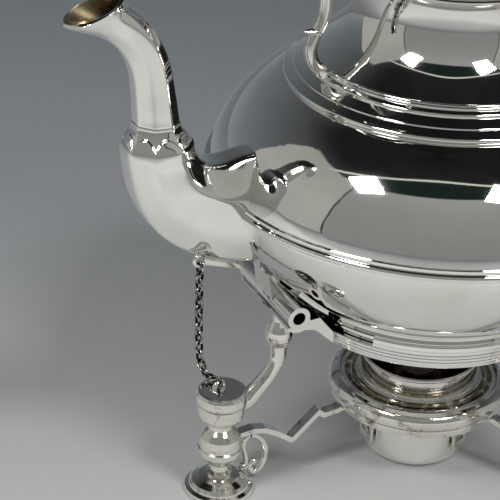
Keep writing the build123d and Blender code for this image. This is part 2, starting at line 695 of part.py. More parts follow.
def kettle_lug():
    """Kettle's half of a hinge at -X: a plate on the bowl, a web and one knuckle."""
    x, z, r = -HINGE_X, HINGE_Z, KNUCKLE_R
    y0, y1 = knuckle_span(0)
    barrel = y_bar(x, z, r, y0, y1)
    outline = [(x - r + 0.4, z), (x - r - 1.6, z + 12.0), (x + 8.0, z + 12.0), (x + 8.0, z + 1.0),
               (x + 0.5 * r, z)]
    web = slab(outline, y0, y1)
    plate = plate_on_bowl() & (Pos(x + 1.0, 0, z + 6.0) * Box(24.0, 2.9 * KNUCKLE_L, 24.0))
    lug = barrel + web + plate
    lug = lug - bowl_envelope() - kettle_base_space()
    for index in (-1, 1):
        a, b = knuckle_span(index)
        near, far = (a - SIDE_CLEAR, b) if index > 0 else (a, b + SIDE_CLEAR)
        lug = lug - y_bar(x, z, r + 0.5, near, far)
    return biggest(lug) - y_bar(x, z, PIN_R + RUN_CLEAR, -2 * KNUCKLE_L, 2 * KNUCKLE_L)


def plate_on_bowl():
    """Sheet of the lug plate's thickness that follows the lower bowl."""
    curve = lower_curve()[:5]
    outer = inset(curve, -LUG_PLATE_T)
    return turned_curve(outer, [(r - 0.2, z + 0.2) for r, z in curve])


def kettle_base_space():
    """The kettle's base moulding and everything inside it."""
    height = BOWL_FOOT_Z - LEDGE_Z + 0.02
    return Pos(0, 0, 0.5 * (LEDGE_Z + BOWL_FOOT_Z)) * Cylinder(BASE_TOP_R + SEAT_CLEAR, height)


# ---------------------------------------------------------------- pins, chain and staple
def hinge_pin():
    """Pin of the front hinge, home in its barrel, with a flat arm that ends in an eye for the chain."""
    x, z = -HINGE_X, HINGE_Z
    face = 1.5 * KNUCKLE_L + SEAT_CLEAR
    pin = y_bar(x, z, PIN_R, face - PIN_INSERT, face + PIN_HEAD_T)
    head = y_bar(x, z, PIN_HEAD_R, face, face + PIN_HEAD_T)
    arm_y = face + 0.5 * PIN_HEAD_T
    root, eye = Vector(x, arm_y, z), Vector(-EYE_X, arm_y, EYE_Z)
    away = (eye - root).normalized()
    start, end = root + away * (PIN_HEAD_R - 1.0), eye - away * (EYE_R - 0.2)
    arm_plane = Plane(origin=start, x_dir=(0, 1, 0), z_dir=away)
    arm = extrude(arm_plane * RectangleRounded(PIN_HEAD_T, 3.0, 0.6), (end - start).length)
    ring = Pos(*eye) * Rot(90, 0, 0) * Torus(EYE_R, EYE_WIRE_R)
    return pin + head + arm + ring


def drawn_rear_pin():
    """Rear pin, pulled back along Y until only its tip is still in the first knuckle."""
    return Pos(0, PIN_DRAW, 0) * mirror(hinge_pin(), Plane.YZ)


def staple(x, y, z, angle):
    """Half-round wire loop standing on a top face, with its legs let in."""
    arc = ThreePointArc((-STAPLE_R, 0, 0), (0, 0, STAPLE_R), (STAPLE_R, 0, 0))
    bar = sweep(Plane(origin=(-STAPLE_R, 0, 0), z_dir=(0, 0, 1)) * Circle(STAPLE_WIRE_R), path=arc)
    return Pos(x, y, z) * Rot(0, 0, angle) * bar


def chain_link():
    """One link: two half rings joined by straight wires, lying along Z in the XZ plane."""
    bend = 0.5 * LINK_WIDTH - LINK_WIRE_R
    straight = 0.5 * LINK_LENGTH - LINK_WIRE_R - bend
    top = ThreePointArc((-bend, 0, straight), (0, 0, straight + bend), (bend, 0, straight))
    low = ThreePointArc((bend, 0, -straight), (0, 0, -straight - bend), (-bend, 0, -straight))
    path = Wire([top, Line(top @ 1, low @ 0), low, Line(low @ 1, top @ 0)])
    section = Plane(origin=path @ 0, z_dir=path % 0) * Circle(LINK_WIRE_R)
    return sweep(section, path=path)


def hanging_point(a, pull, b, t):
    """Point of a quadratic curve from a to b, drawn towards pull."""
    return a * ((1 - t) ** 2) + pull * (2 * t * (1 - t)) + b * (t * t)


def evenly_spaced(a, pull, b, steps=400):
    """Points of the hanging curve one link's pitch apart, each with its direction."""
    points = [hanging_point(a, pull, b, i / steps) for i in range(steps + 1)]
    travelled = [0.0]
    for p, q in zip(points, points[1:]):
        travelled.append(travelled[-1] + (q - p).length)
    count = 2 * math.ceil(0.5 * travelled[-1] / LINK_PITCH)
    pitch = travelled[-1] / count
    found = []
    for i in range(count + 1):
        k = min(range(steps + 1), key=lambda n: abs(travelled[n] - i * pitch))
        found.append((points[k], points[min(k + 3, steps)] - points[max(k - 3, 0)]))
    return found


def jump_ring(centre, along, across):
    """Round ring that joins the end of a chain to an eye or a staple."""
    return Plane(origin=centre, x_dir=along, z_dir=across) * Torus(JUMP_R, JUMP_WIRE_R)


def chain(a, pull, b, turn):
    """Links along the hanging curve, each turned a quarter from the last, with a jump ring at each end."""
    link = chain_link()
    places = evenly_spaced(a, pull, b)
    solids = []
    for i, (point, along) in enumerate(places):
        twist = math.radians(turn * i / (len(places) - 1) + 90.0 * (i % 2))
        side = Vector(math.cos(twist), math.sin(twist), 0)
        across = (side - along * (side.dot(along) / along.dot(along))).normalized()
        solids.append(Plane(origin=point, x_dir=across, z_dir=along) * link)
    return solids


# ---------------------------------------------------------------- stand legs
def foot():
    """Turned baluster foot on the front leg's axis: block, neck, belted knop and domed base."""
    r, top = FOOT_BLOCK_R, FOOT_TOP_Z
    base, knop, kz = FOOT_BASE_R, KNOP_R, KNOP_Z
    points = [
        (0, 0), (base - 0.4, 0), (base, 0.8), (base - 0.2, 2.2), (base - 1.8, 3.0), (base - 2.0, 3.8),
        (base - 3.0, 5.0), (base - 5.8, 6.4), (4.4, 7.2), (5.2, 8.0), (5.2, 8.8), (3.8, 9.8), (3.5, 11.6),
        (4.0, 13.4), (6.2, 15.2), (knop - 0.9, kz - 3.0), (knop - 0.5, kz - 1.2), (knop, kz - 0.8),
        (knop, kz + 0.2), (knop - 0.5, kz + 0.7), (knop - 0.2, kz + 3.0), (knop - 0.8, kz + 5.6),
        (knop - 2.4, kz + 8.0), (5.2, kz + 9.6), (4.9, kz + 11.2), (5.4, kz + 12.6), (r - 2.4, kz + 13.8),
        (r - 1.2, kz + 15.6), (r - 1.3, kz + 17.6), (r - 0.7, kz + 18.2), (r - 0.5, kz + 21.0),
        (r - 0.8, kz + 21.6), (r, top - 4.4), (r, top - 1.4), (r - 0.7, top - 0.2), (r - 1.6, top), (0, top),
    ]
    return Pos(-FOOT_X, 0, 0) * turned(points)


def leg_route():
    """Points from the cap down and out to the foot's block, as shares of the leg's reach and drop."""
    x0, z0 = -LEG_X + 0.4, CAP_BOTTOM_Z + 1.0
    reach, drop = FOOT_X - LEG_X - 6.3, z0 - FOOT_TOP_Z + 8.0
    line = [(0.0, 0.0), (-0.01, 0.303), (0.259, 0.644), (0.627, 0.902), (1.0, 1.0)]
    return [(x0 - u * reach, z0 - v * drop) for u, v in line]


def leg():
    """C-curved leg from its cap to the foot's block, a rounded bar with a moulded neck."""
    route = [(x, 0, z) for x, z in leg_route()]
    path = Spline(*route, tangents=[Vector(0, 0, -1), Vector(-1, 0, -0.1)])
    start = Plane(origin=path @ 0, x_dir=(0, 1, 0), z_dir=path % 0)
    middle = Plane(origin=path @ 0.5, x_dir=(0, 1, 0), z_dir=path % 0.5)
    end = Plane(origin=path @ 1, x_dir=(0, 1, 0), z_dir=path % 1)
    bar = sweep([start * Ellipse(0.5 * LEG_T, 0.5 * LEG_W), middle * Ellipse(0.5 * LEG_T, 0.46 * LEG_W),
                 end * Ellipse(0.62 * LEG_T, 0.66 * LEG_W)], path=path, multisection=True)
    z = CAP_BOTTOM_Z
    collar = turned([(0, z - 1.6), (4.2, z - 1.6), (4.5, z - 0.8), (4.2, z), (0, z)])
    collar = Pos(-LEG_X + 0.4, 0, 0) * collar
    return (bar + collar) - foot() - leg_cap_solid()


def leg_cap_solid():
    z0 = CAP_BOTTOM_Z
    r = CAP_R
    return Pos(-LEG_X + 0.4, 0, 0) * turned([
        (0, z0), (r - 1.4, z0), (r - 0.2, z0 + 1.6), (r, z0 + 3.4), (r - 0.3, z0 + 5.4), (r - 1.4, z0 + 8.0),
        (r - 3.0, z0 + 10.4), (0, z0 + 11.0)])


def leg_cap(under_hinge):
    """Bun-shaped cap on a leg: fitted under the hinge's trough, or under a lug of the ring."""
    cap = leg_cap_solid()
    if not under_hinge:
        return biggest(cap - leg_lug())
    neck_up = Pos(-LEG_X + 0.4, 0, CAP_BOTTOM_Z + 11.0) * Cylinder(3.0, 12.0)
    return biggest(cap + neck_up - hinge_saddle() - y_bar(-HINGE_X, HINGE_Z, KNUCKLE_R + 2.0, -20, 20))


def leg_lug():
    """Lug of the ring above a leg that has no hinge over it."""
    z0, z1 = LEDGE_Z - 4.4, LEDGE_Z
    arm = Pos(-0.5 * (RING_R + LEG_X) + 1.0, 0, 0.5 * (z0 + z1)) * Box(LEG_X - RING_R + 5.0, 9.0, z1 - z0)
    end = Pos(-LEG_X + 0.4, 0, 0.5 * (z0 + z1)) * Cylinder(5.4, z1 - z0)
    bead = Pos(-LEG_X + 0.4, 0, z1) * Sphere(3.2)
    return biggest((arm + end + bead) - ring_solid())


def stretcher():
    """Broken-scroll arm from the foot's knop to the lamp holder."""
    r0 = FOOT_X - 7.0
    reach = r0 - HOLDER_R
    z, drop = HOLDER_BOTTOM_Z, HOLDER_BOTTOM_Z - ARM_LOW_Z
    line = [(0.0, 0.01), (0.157, -0.08), (0.266, 0.04), (0.393, 0.4), (0.546, 1.0), (0.803, -0.3),
            (0.860, -0.06), (0.976, -0.13), (1.118, -0.35)]
    strip = trace_strip(Polyline(*[(-r0 + u * reach, 0, z - v * drop) for u, v in line]))
    arm = extrude(strip, 0.5 * ARM_W, both=True)
    return biggest(arm - foot() - holder_solid())


def trace_strip(line):
    """Flat strip of the arm's thickness along a line in the XZ plane."""
    flat = Plane.XZ.to_local_coords(line)
    return Plane.XZ * trace(flat, ARM_T)


def scroll():
    """C-scroll with a curled end that hangs between the foot and its arm."""
    x, z, w, h = -FOOT_X + 13.0, KNOP_Z + 1.9, SCROLL_W, SCROLL_H
    curl = Vector(x + 0.31 * w, 0, z - 0.72 * h)
    line = [(0.1, 0.0), (0.68, 0.16), (1.0, 0.495), (0.82, 0.85), (0.34, 1.0), (0.07, 0.85)]
    path = Spline(*[Vector(x + u * w, 0, z - v * h) for u, v in line], curl)
    bar = sweep(Plane(origin=path @ 0, z_dir=path % 0) * Circle(SCROLL_WIRE_R), path=path)
    tip = Pos(*curl) * Sphere(1.6)
    leaf_line = [(-0.05, 0.01), (-0.31, 0.31), (-0.15, 0.61), (-0.28, 0.84)]
    leaf_path = Spline(*[(x + u * w, 0, z - v * h) for u, v in leaf_line])
    leaf = sweep(Plane(origin=leaf_path @ 0, z_dir=leaf_path % 0) * Circle(1.1), path=leaf_path)
    drop = Pos(x - 0.28 * w, 0, z - 0.81 * h) * Sphere(1.9)
    return biggest((bar + tip + leaf + drop) - stretcher() - foot())


# ---------------------------------------------------------------- lamp and holder
def holder_solid():
    r, top, low = HOLDER_R, HOLDER_TOP_Z, HOLDER_BOTTOM_Z
    groove = HOLDER_GROOVE_Z
    rim_in = PLATE_R + PLATE_GAP
    bore = RESERVOIR_R + RESERVOIR_GAP
    return turned([
        (bore, low + 4.0), (bore, HOLDER_LEDGE_Z), (rim_in, HOLDER_LEDGE_Z), (rim_in, top - 0.4),
        (rim_in + 0.6, top), (r - 3.0, top - 0.2), (r - 0.6, top - 2.4), (r, top - 3.8),
        (r - 0.4, groove + 1.2), (r - 1.6, groove), (r - 1.0, groove - 1.2), (r - 1.4, groove - 2.6),
        (r - 2.6, groove - 3.2), (r - 3.6, low), (r - 6.0, low), (r - 8.0, low + 2.6),
    ])


def tab_azimuths():
    return [TAB_AZ + 360.0 * i / TAB_COUNT for i in range(TAB_COUNT)]


def stud_bar(clear=0.0):
    """Stud on the reservoir at -X, pointing outwards."""
    reach = RESERVOIR_R + RESERVOIR_GAP + TAB_T
    return rod((-RESERVOIR_R + 0.8, 0, STUD_Z), (-reach - clear, 0, STUD_Z), STUD_R + clear)


def bayonet_tabs():
    """Tabs under the holder, each with an L-shaped slot for a stud of the reservoir."""
    inner = RESERVOIR_R + RESERVOIR_GAP
    top = HOLDER_BOTTOM_Z + 4.0
    h = top - TAB_BOTTOM_Z
    sleeve = Pos(0, 0, TAB_BOTTOM_Z + 0.5 * h) * (Cylinder(inner + TAB_T, h) - Cylinder(inner, 2 * h))
    s = STUD_R + SLOT_CLEAR
    reach = math.radians(LAMP_TWIST) * (inner + 1.0)
    block = Pos(-inner, -0.5 * reach, TAB_BOTTOM_Z + 0.5 * h) * Box(8, reach + 2 * s + 2 * TAB_EDGE, h)
    tab = sleeve & block
    upright = Pos(-inner, 0, STUD_Z + 20) * Box(10, 2 * s, 40)
    foot_slot = Pos(-inner, -0.5 * reach, STUD_Z) * Box(10, reach + 2 * s, 2 * s)
    return tab - upright - foot_slot


def lamp_holder():
    """Ring that carries the lamp, notched above each tab's slot, with its three tabs."""
    ring = holder_solid()
    s = STUD_R + SLOT_CLEAR
    depth = 6.0
    for az in tab_azimuths():
        notch = Pos(-RESERVOIR_R - 0.5 * depth + 1.0, 0, HOLDER_LEDGE_Z - 5) * Box(depth, 2 * s, 24)
        ring = ring + around(bayonet_tabs(), az - 180) - around(notch, az - 180)
    return ring


def reservoir():
    """Spirit reservoir, a deep bowl with rounded bottom edge, and its three studs."""
    r, z0, z1 = RESERVOIR_R, RESERVOIR_BOTTOM_Z, HOLDER_LEDGE_Z
    t = 1.0
    points = [(0, z0), (r - 2.5, z0), (r - 0.9, z0 + 0.8), (r - 0.2, z0 + 2.6), (r, z0 + 5.0), (r, z1),
              (r - t, z1), (r - t, z0 + 5.0), (r - 1.8, z0 + 1.8), (r - 3.4, z0 + t), (0, z0 + t)]
    bowl = turned(points)
    for az in tab_azimuths():
        bowl = bowl + around(stud_bar(), az - 180)
    return bowl


def lamp_plate():
    """Moulded plate of the lamp, which rests on the holder's ledge, with the collar on it."""
    z = HOLDER_LEDGE_Z + SEAT_CLEAR
    r = PLATE_R
    bore = BURNER_R
    return turned([
        (bore, z), (r, z), (r, z + 1.6), (r - 1.4, z + 2.3), (r - 3.0, z + 1.5), (COLLAR_R + 2.6, z + 1.9),
        (COLLAR_R + 2.2, z + 3.2), (COLLAR_R + 1.0, z + 4.2), (COLLAR_R, z + 4.4), (COLLAR_R, z + 8.2),
        (COLLAR_R - 0.9, COLLAR_TOP_Z), (COLLAR_BORE_R, COLLAR_TOP_Z), (COLLAR_BORE_R - 0.2, z + 2.0),
        (bore, z + 1.4),
    ])


def wick_tube():
    """Tube that stands in the plate and holds the wick."""
    z = HOLDER_LEDGE_Z + SEAT_CLEAR
    bore, top = WICK_TUBE_R - 0.9, z + WICK_TUBE_H
    return turned([(bore, z - 8), (BURNER_R, z - 8), (BURNER_R, z + 1.4), (WICK_TUBE_R, z + 1.8),
                   (WICK_TUBE_R, top - 0.8), (WICK_TUBE_R + 0.5, top), (bore, top)])


def wick():
    """Cotton wick in its tube."""
    z = HOLDER_LEDGE_Z + SEAT_CLEAR
    r = WICK_TUBE_R - 0.9
    top = z + WICK_TUBE_H
    return turned([(0, z - 16), (r, z - 16), (r, top), (r - 0.6, top + 1.2), (0, top + 1.8)])


# ---------------------------------------------------------------- assembly
def build_kettle():
    spout_solid = spout_skin(SPOUT_STATIONS)
    keep("lower_bowl", lower_bowl())
    keep("upper_bowl", upper_bowl())
    keep("kettle_base", kettle_base())
    keep("girdle_band", biggest(girdle_band(spout_solid)))
    keep("shoulder_moulding", shoulder_moulding())
    keep("neck", neck())
    keep("lid_seat", around(lid_seat(), LID_HINGE_AZ))
    keep("lid_hinge_pin", around(lid_hinge_pin(), LID_HINGE_AZ))
    keep("spout_root", spout_root())
    keep("spout_band", spout_band())
    keep("spout_neck", spout_neck())
    lug = kettle_lug()
    keep("front_kettle_lug", lug)
    keep("rear_kettle_lug", around(lug, 180))
    keep("front_handle_bracket", handle_bracket(0))
    keep("rear_handle_bracket", handle_bracket(180))
    keep("front_ferrule", ferrule(0))
    keep("rear_ferrule", ferrule(180))
    keep("handle_grip", handle_grip())
    keep("handle_rivets", handle_rivets())


def build_lid():
    cover = around(lid(), LID_HINGE_AZ)
    keep("lid", cover)
    keep("finial_base", finial_base() - cover)
    keep("finial_knob", finial_knob())
    keep("finial_cap", finial_cap())


def build_stand():
    keep("stand_ring", stand_ring())
    saddle = hinge_saddle()
    keep("front_hinge_saddle", saddle)
    keep("rear_hinge_saddle", around(saddle, 180))
    one_leg, one_foot, one_arm, one_scroll = leg(), foot(), stretcher(), scroll()
    lug, plain_cap = leg_lug(), leg_cap(False)
    places = (("front", 0.0), ("right", 360.0 / LEG_COUNT), ("left", -360.0 / LEG_COUNT))
    for name, turn in places:
        keep(name + "_leg", around(one_leg, turn))
        keep(name + "_foot", around(one_foot, turn))
        keep(name + "_stretcher", around(one_arm, turn))
        keep(name + "_scroll", around(one_scroll, turn))
        keep(name + "_leg_cap", leg_cap(True) if turn == 0.0 else around(plain_cap, turn))
        if turn != 0.0:
            keep(name + "_leg_lug", around(lug, turn))
    keep("lamp_holder", lamp_holder())


def build_lamp():
    keep("reservoir", reservoir())
    keep("lamp_plate", lamp_plate())
    keep("wick_tube", wick_tube())
    keep("wick", wick())


def build_pins():
    keep("front_pin", hinge_pin())
    keep("rear_pin", drawn_rear_pin())
    keep("front_staple", staple(-FOOT_X - STAPLE_OUT, STAPLE_Y, FOOT_TOP_Z, STAPLE_AZ))
    keep("front_chain", front_chain())


def front_chain():
    """Chain from the front pin's eye, sagging down to the staple on the front foot."""
    arm_y = 1.5 * KNUCKLE_L + SEAT_CLEAR + 0.5 * PIN_HEAD_T
    turn = math.radians(STAPLE_AZ)
    bore = JUMP_R - JUMP_WIRE_R
    reach = bore + 0.5 * LINK_LENGTH - 2 * LINK_WIRE_R - 0.05
    eye = Vector(-EYE_X, arm_y, EYE_Z - EYE_R)
    crown = Vector(-FOOT_X - STAPLE_OUT, STAPLE_Y, FOOT_TOP_Z + STAPLE_R)
    pull = crown + Vector(-math.sin(turn), math.cos(turn), 0) * CHAIN_SAG + Vector(0, 0, 1.0)
    down, back = (pull - eye).normalized(), (pull - crown).normalized()
    top_ring = eye + down * (bore - EYE_WIRE_R - 0.1)
    low_ring = crown + back * (bore - STAPLE_WIRE_R - 0.1)
    rings = [jump_ring(top_ring, down, Vector(1, 0, 0) - down * down.X)]
    rings.append(jump_ring(low_ring, back, Vector(math.cos(turn), math.sin(turn), 0)))
    links = chain(top_ring + down * reach, pull, low_ring + back * reach, STAPLE_AZ)
    return Compound(rings + links)


def main():
    build_kettle()
    build_lid()
    build_stand()
    build_lamp()
    build_pins()
    os.makedirs("parts", exist_ok=True)
    for name, shape in NODES.items():
        export_step(Pos(FRAME_X, 0, 0) * shape, os.path.join("parts", name + ".step"))
    print(len(NODES), "nodes")


main()
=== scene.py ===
import math

import bpy
import numpy as np
from mathutils import Matrix, Vector


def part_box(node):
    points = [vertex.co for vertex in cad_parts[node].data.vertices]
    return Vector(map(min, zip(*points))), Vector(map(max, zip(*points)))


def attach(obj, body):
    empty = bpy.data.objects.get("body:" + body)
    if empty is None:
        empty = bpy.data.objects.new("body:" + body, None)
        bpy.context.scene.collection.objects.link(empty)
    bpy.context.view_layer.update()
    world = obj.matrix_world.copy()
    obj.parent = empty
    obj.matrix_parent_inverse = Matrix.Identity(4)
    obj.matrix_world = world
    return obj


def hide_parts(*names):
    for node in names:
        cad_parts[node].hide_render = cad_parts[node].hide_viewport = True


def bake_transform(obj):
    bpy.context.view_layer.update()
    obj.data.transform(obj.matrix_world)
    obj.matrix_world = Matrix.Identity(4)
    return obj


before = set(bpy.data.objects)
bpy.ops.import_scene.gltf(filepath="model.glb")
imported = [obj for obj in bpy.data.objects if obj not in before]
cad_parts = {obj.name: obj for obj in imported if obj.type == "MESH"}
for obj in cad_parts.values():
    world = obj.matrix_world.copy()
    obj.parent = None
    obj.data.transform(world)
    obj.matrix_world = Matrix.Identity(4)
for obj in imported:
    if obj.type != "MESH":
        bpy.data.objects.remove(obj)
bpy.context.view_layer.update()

MM = 0.001
# The kettle's axis stands at this x, and every radius below is measured from it.
AXIS_X = 0.0298
# Azimuth in degrees that the studio's front card faces the kettle from.
FRONT = -120.6


# ---------------------------------------------------------------- small tools for materials and objects

def linear(code):
    """Linear colour of an sRGB hex code: c/12.92 below 0.04045, else ((c+0.055)/1.055)^2.4."""
    parts = [int(code[i:i + 2], 16) / 255 for i in (0, 2, 4)]
    return tuple(c / 12.92 if c <= 0.04045 else ((c + 0.055) / 1.055) ** 2.4 for c in parts) + (1.0,)


def add(tree, kind, inputs=None, out=0, stops=(), **settings):
    """One shader node, giving its output out. Inputs take a value, a hex colour or another node's output, stops are a
    ramp's places and hex colours, and settings are the node's properties."""
    node = tree.nodes.new("ShaderNode" + kind)
    for name, value in settings.items():
        setattr(node, name, value)
    for i, (place, code) in enumerate(stops):
        stop = node.color_ramp.elements[i] if i < 2 else node.color_ramp.elements.new(place)
        stop.position, stop.color = place, linear(code)
    for socket, value in (inputs or {}).items():
        if isinstance(value, bpy.types.NodeSocket):
            tree.links.new(value, node.inputs[socket])
        else:
            node.inputs[socket].default_value = linear(value) if isinstance(value, str) else value
    return node.outputs[out] if node.outputs else None


def blank_material(name):
    """A material with an empty tree, and that tree."""
    made = bpy.data.materials.new(name)
    made.use_nodes = True
    made.node_tree.nodes.clear()
    return made, made.node_tree


def band_scale(spacing):
    """Scale at which a wave texture's bands are spacing mm apart, since they are pi / 10 / scale apart."""
    return math.pi / 10 / (spacing * MM)


def in_scene(name, data):
    """A new object in the scene that shows data."""
    made = bpy.data.objects.new(name, data)
    bpy.context.scene.collection.objects.link(made)
    return made


# ---------------------------------------------------------------- materials

def polished_silver(name, clean="F5F4F1", dull="E6E4DF", tarnish="8A7350", spread=0.0, low=0.02, high=0.07, wave=0.012,
                    blackened_below=None):
    """Silver plate, raised and planished with hammers, then polished with rouge.

    A near mirror, whose roughness goes from low where it is clean to high where handling has clouded it. Planishing
    leaves waves about 14 mm across and wave mm high that bend what it reflects. The larger spread is, the more of the
    surface keeps brown tarnish that a cloth can't reach. Below the place given as the last argument, on the Y axis in
    mm, the colour turns near black, as on the end of a pin inside its bore.
    """
    made, tree = blank_material(name)
    place = add(tree, "TexCoord", out="Object")
    cloud = add(tree, "TexNoise", {"Vector": place, "Scale": 1 / (30 * MM), "Detail": 5.0})
    colour = add(tree, "ValToRGB", {"Fac": cloud}, stops=[(0.35, clean), (0.75, dull)])
    if spread:
        # Tarnish gathers in patches of 3 to 8 mm.
        patch = add(tree, "TexNoise", {"Vector": place, "Scale": 1 / (7 * MM), "Detail": 6.0, "Roughness": 0.65})
        mask = add(tree, "MapRange", {"Value": patch, "From Min": 0.62 - 0.3 * spread, "From Max": 0.8 - 0.3 * spread})
        colour = add(tree, "Mix", {0: mask, 6: colour, 7: tarnish}, out=2, data_type="RGBA")
    if blackened_below is not None:
        across = add(tree, "SeparateXYZ", {"Vector": place}, out="Y")
        mask = add(tree, "MapRange", {"Value": across, "From Min": blackened_below * MM, "From Max": (blackened_below - 0.2) * MM})
        colour = add(tree, "Mix", {0: mask, 6: colour, 7: "0A0908"}, out=2, data_type="RGBA")
    gloss = add(tree, "MapRange", {"Value": cloud, "From Min": 0.3, "From Max": 0.75, "To Min": low, "To Max": high})
    planish = add(tree, "TexNoise", {"Vector": place, "Scale": 1 / (14 * MM), "Detail": 1.0})
    bump = add(tree, "Bump", {"Height": planish, "Distance": wave * MM})
    shader = add(tree, "BsdfPrincipled", {"Metallic": 1.0, "Base Color": colour, "Roughness": gloss, "Normal": bump})
    add(tree, "OutputMaterial", {"Surface": shader})
    return made


def lamp_silver():
    """The lamp's spun plate: bright on its collar and edge, browned in the ring that the cloth skips, black inside.

    The colour follows the distance from the axis: painted shade inside the collar, to 22.9 mm, clean metal to 26.6 mm,
    then tarnish that is darkest just inside the two grooves, at 27 and 30.4 mm, broken up by patches 5 mm across.
    """
    made, tree = blank_material("spun_lamp_silver")
    place = add(tree, "TexCoord", out="Object")
    flat = add(tree, "Mapping", {"Vector": place, "Location": (-AXIS_X, 0, 0), "Scale": (1, 1, 0)})
    radius = add(tree, "VectorMath", {0: flat}, out="Value", operation="LENGTH")
    patch = add(tree, "TexNoise", {"Vector": place, "Scale": 1 / (5 * MM), "Detail": 5.0, "Roughness": 0.6})
    share = add(tree, "MapRange", {"Value": radius, "From Min": 22 * MM, "From Max": 34 * MM})
    # Both ramps start near black, out to 22.9 mm from the axis: painted shade inside the collar.
    worn = add(tree, "ValToRGB", {"Fac": share}, stops=[
        (0.0, "0C0B0A"), (0.07, "0C0B0A"), (0.085, "EDEBE6"), (0.36, "E4E1DA"), (0.42, "4A3B2A"), (0.5, "B3A68E"),
        (0.62, "8C7A5F"), (0.7, "3A3127"), (0.75, "DAD7CF"), (1.0, "EEECE8")])
    clean = add(tree, "ValToRGB", {"Fac": share}, stops=[(0.07, "0C0B0A"), (0.085, "EDEBE6")])
    mask = add(tree, "MapRange", {"Value": patch, "From Min": 0.3, "From Max": 0.5})
    colour = add(tree, "Mix", {0: mask, 6: clean, 7: worn}, out=2, data_type="RGBA")
    inside_collar = add(tree, "MapRange", {"Value": radius, "From Min": 22.7 * MM, "From Max": 22.95 * MM,
                                  "To Min": 0.6, "To Max": 0.0})
    gloss = add(tree, "Math", {0: patch, 1: 0.24, 2: inside_collar}, operation="MULTIPLY_ADD")
    shader = add(tree, "BsdfPrincipled", {"Metallic": 1.0, "Base Color": colour, "Roughness": gloss})
    add(tree, "OutputMaterial", {"Surface": shader})
    return made


def gilded():
    """Mercury gilding inside the spout: dull gold, browned in patches 6 mm across where tea has run over it."""
    made, tree = blank_material("tea_stained_gilding")
    place = add(tree, "TexCoord", out="Object")
    stain = add(tree, "TexNoise", {"Vector": place, "Scale": 1 / (6 * MM), "Detail": 5.0})
    colour = add(tree, "ValToRGB", {"Fac": stain}, stops=[(0.35, "D8CBAA"), (0.55, "A39378"), (0.75, "5E5242")])
    gloss = add(tree, "MapRange", {"Value": stain, "From Min": 0.3, "From Max": 0.75, "To Min": 0.2, "To Max": 0.38})
    shader = add(tree, "BsdfPrincipled", {"Metallic": 1.0, "Base Color": colour, "Roughness": gloss})
    add(tree, "OutputMaterial", {"Surface": shader})
    return made


def chain_wire(name, dark, middle, bright):
    """Drawn silver wire, left to darken and rubbed again by handling, in spots 2 mm across."""
    made, tree = blank_material(name)
    place = add(tree, "TexCoord", out="Object")
    rubbed = add(tree, "TexNoise", {"Vector": place, "Scale": 1 / (2.2 * MM), "Detail": 3.0})
    colour = add(tree, "ValToRGB", {"Fac": rubbed}, stops=[(0.4, dark), (0.52, middle), (0.62, bright)])
    gloss = add(tree, "MapRange", {"Value": rubbed, "From Min": 0.3, "From Max": 0.75, "To Min": 0.36, "To Max": 0.18})
    shader = add(tree, "BsdfPrincipled", {"Metallic": 1.0, "Base Color": colour, "Roughness": gloss})
    add(tree, "OutputMaterial", {"Surface": shader})
    return made


def heat_browned_shade_painted_brass():
    """Spun brass of the wick tube, browned by heat and darkened overall as painted shade inside the collar, with
    spinning rings 0.6 mm apart.
    """
    made, tree = blank_material("heat_browned_shade_painted_brass")
    place = add(tree, "TexCoord", out="Object")
    heat = add(tree, "TexNoise", {"Vector": place, "Scale": 1 / (4 * MM), "Detail": 4.0})
    # The ramp runs from mid brown to near black: heat browning, and painted shade inside the collar.
    colour = add(tree, "ValToRGB", {"Fac": heat}, stops=[(0.35, "6B5230"), (0.6, "3E3020"), (0.8, "1E1813")])
    gloss = add(tree, "MapRange", {"Value": heat, "From Min": 0.3, "From Max": 0.75, "To Min": 0.3, "To Max": 0.5})
    rings = add(tree, "TexWave", {"Vector": place, "Scale": band_scale(0.6), "Distortion": 0.4}, out="Fac",
                wave_type="BANDS", bands_direction="Z")
    bump = add(tree, "Bump", {"Height": rings, "Distance": 0.02 * MM})
    shader = add(tree, "BsdfPrincipled", {"Metallic": 1.0, "Base Color": colour, "Roughness": gloss, "Normal": bump})
    add(tree, "OutputMaterial", {"Surface": shader})
    return made


def ebonised_wood(name, along):
    """Fruitwood stained black, turned and waxed: grain 1.2 mm across and 20 mm along the piece, brown at the pores."""
    made, tree = blank_material(name)
    place = add(tree, "TexCoord", out="Object")
    stretch = [1.0, 1.0, 1.0]
    stretch["XYZ".index(along)] = 0.06
    drawn = add(tree, "Mapping", {"Vector": place, "Scale": tuple(stretch)})
    grain = add(tree, "TexNoise", {"Vector": drawn, "Scale": 1 / (1.2 * MM), "Detail": 6.0, "Roughness": 0.6})
    colour = add(tree, "ValToRGB", {"Fac": grain}, stops=[(0.35, "1A1310"), (0.6, "2B1D16"), (0.75, "4A3324")])
    gloss = add(tree, "MapRange", {"Value": grain, "From Min": 0.3, "From Max": 0.75, "To Min": 0.28, "To Max": 0.45})
    bump = add(tree, "Bump", {"Height": grain, "Distance": 0.03 * MM})
    shader = add(tree, "BsdfPrincipled", {"Base Color": colour, "Roughness": gloss, "Normal": bump, "IOR": 1.5,
                                          "Coat Weight": 0.25, "Coat Roughness": 0.15})
    add(tree, "OutputMaterial", {"Surface": shader})
    return made


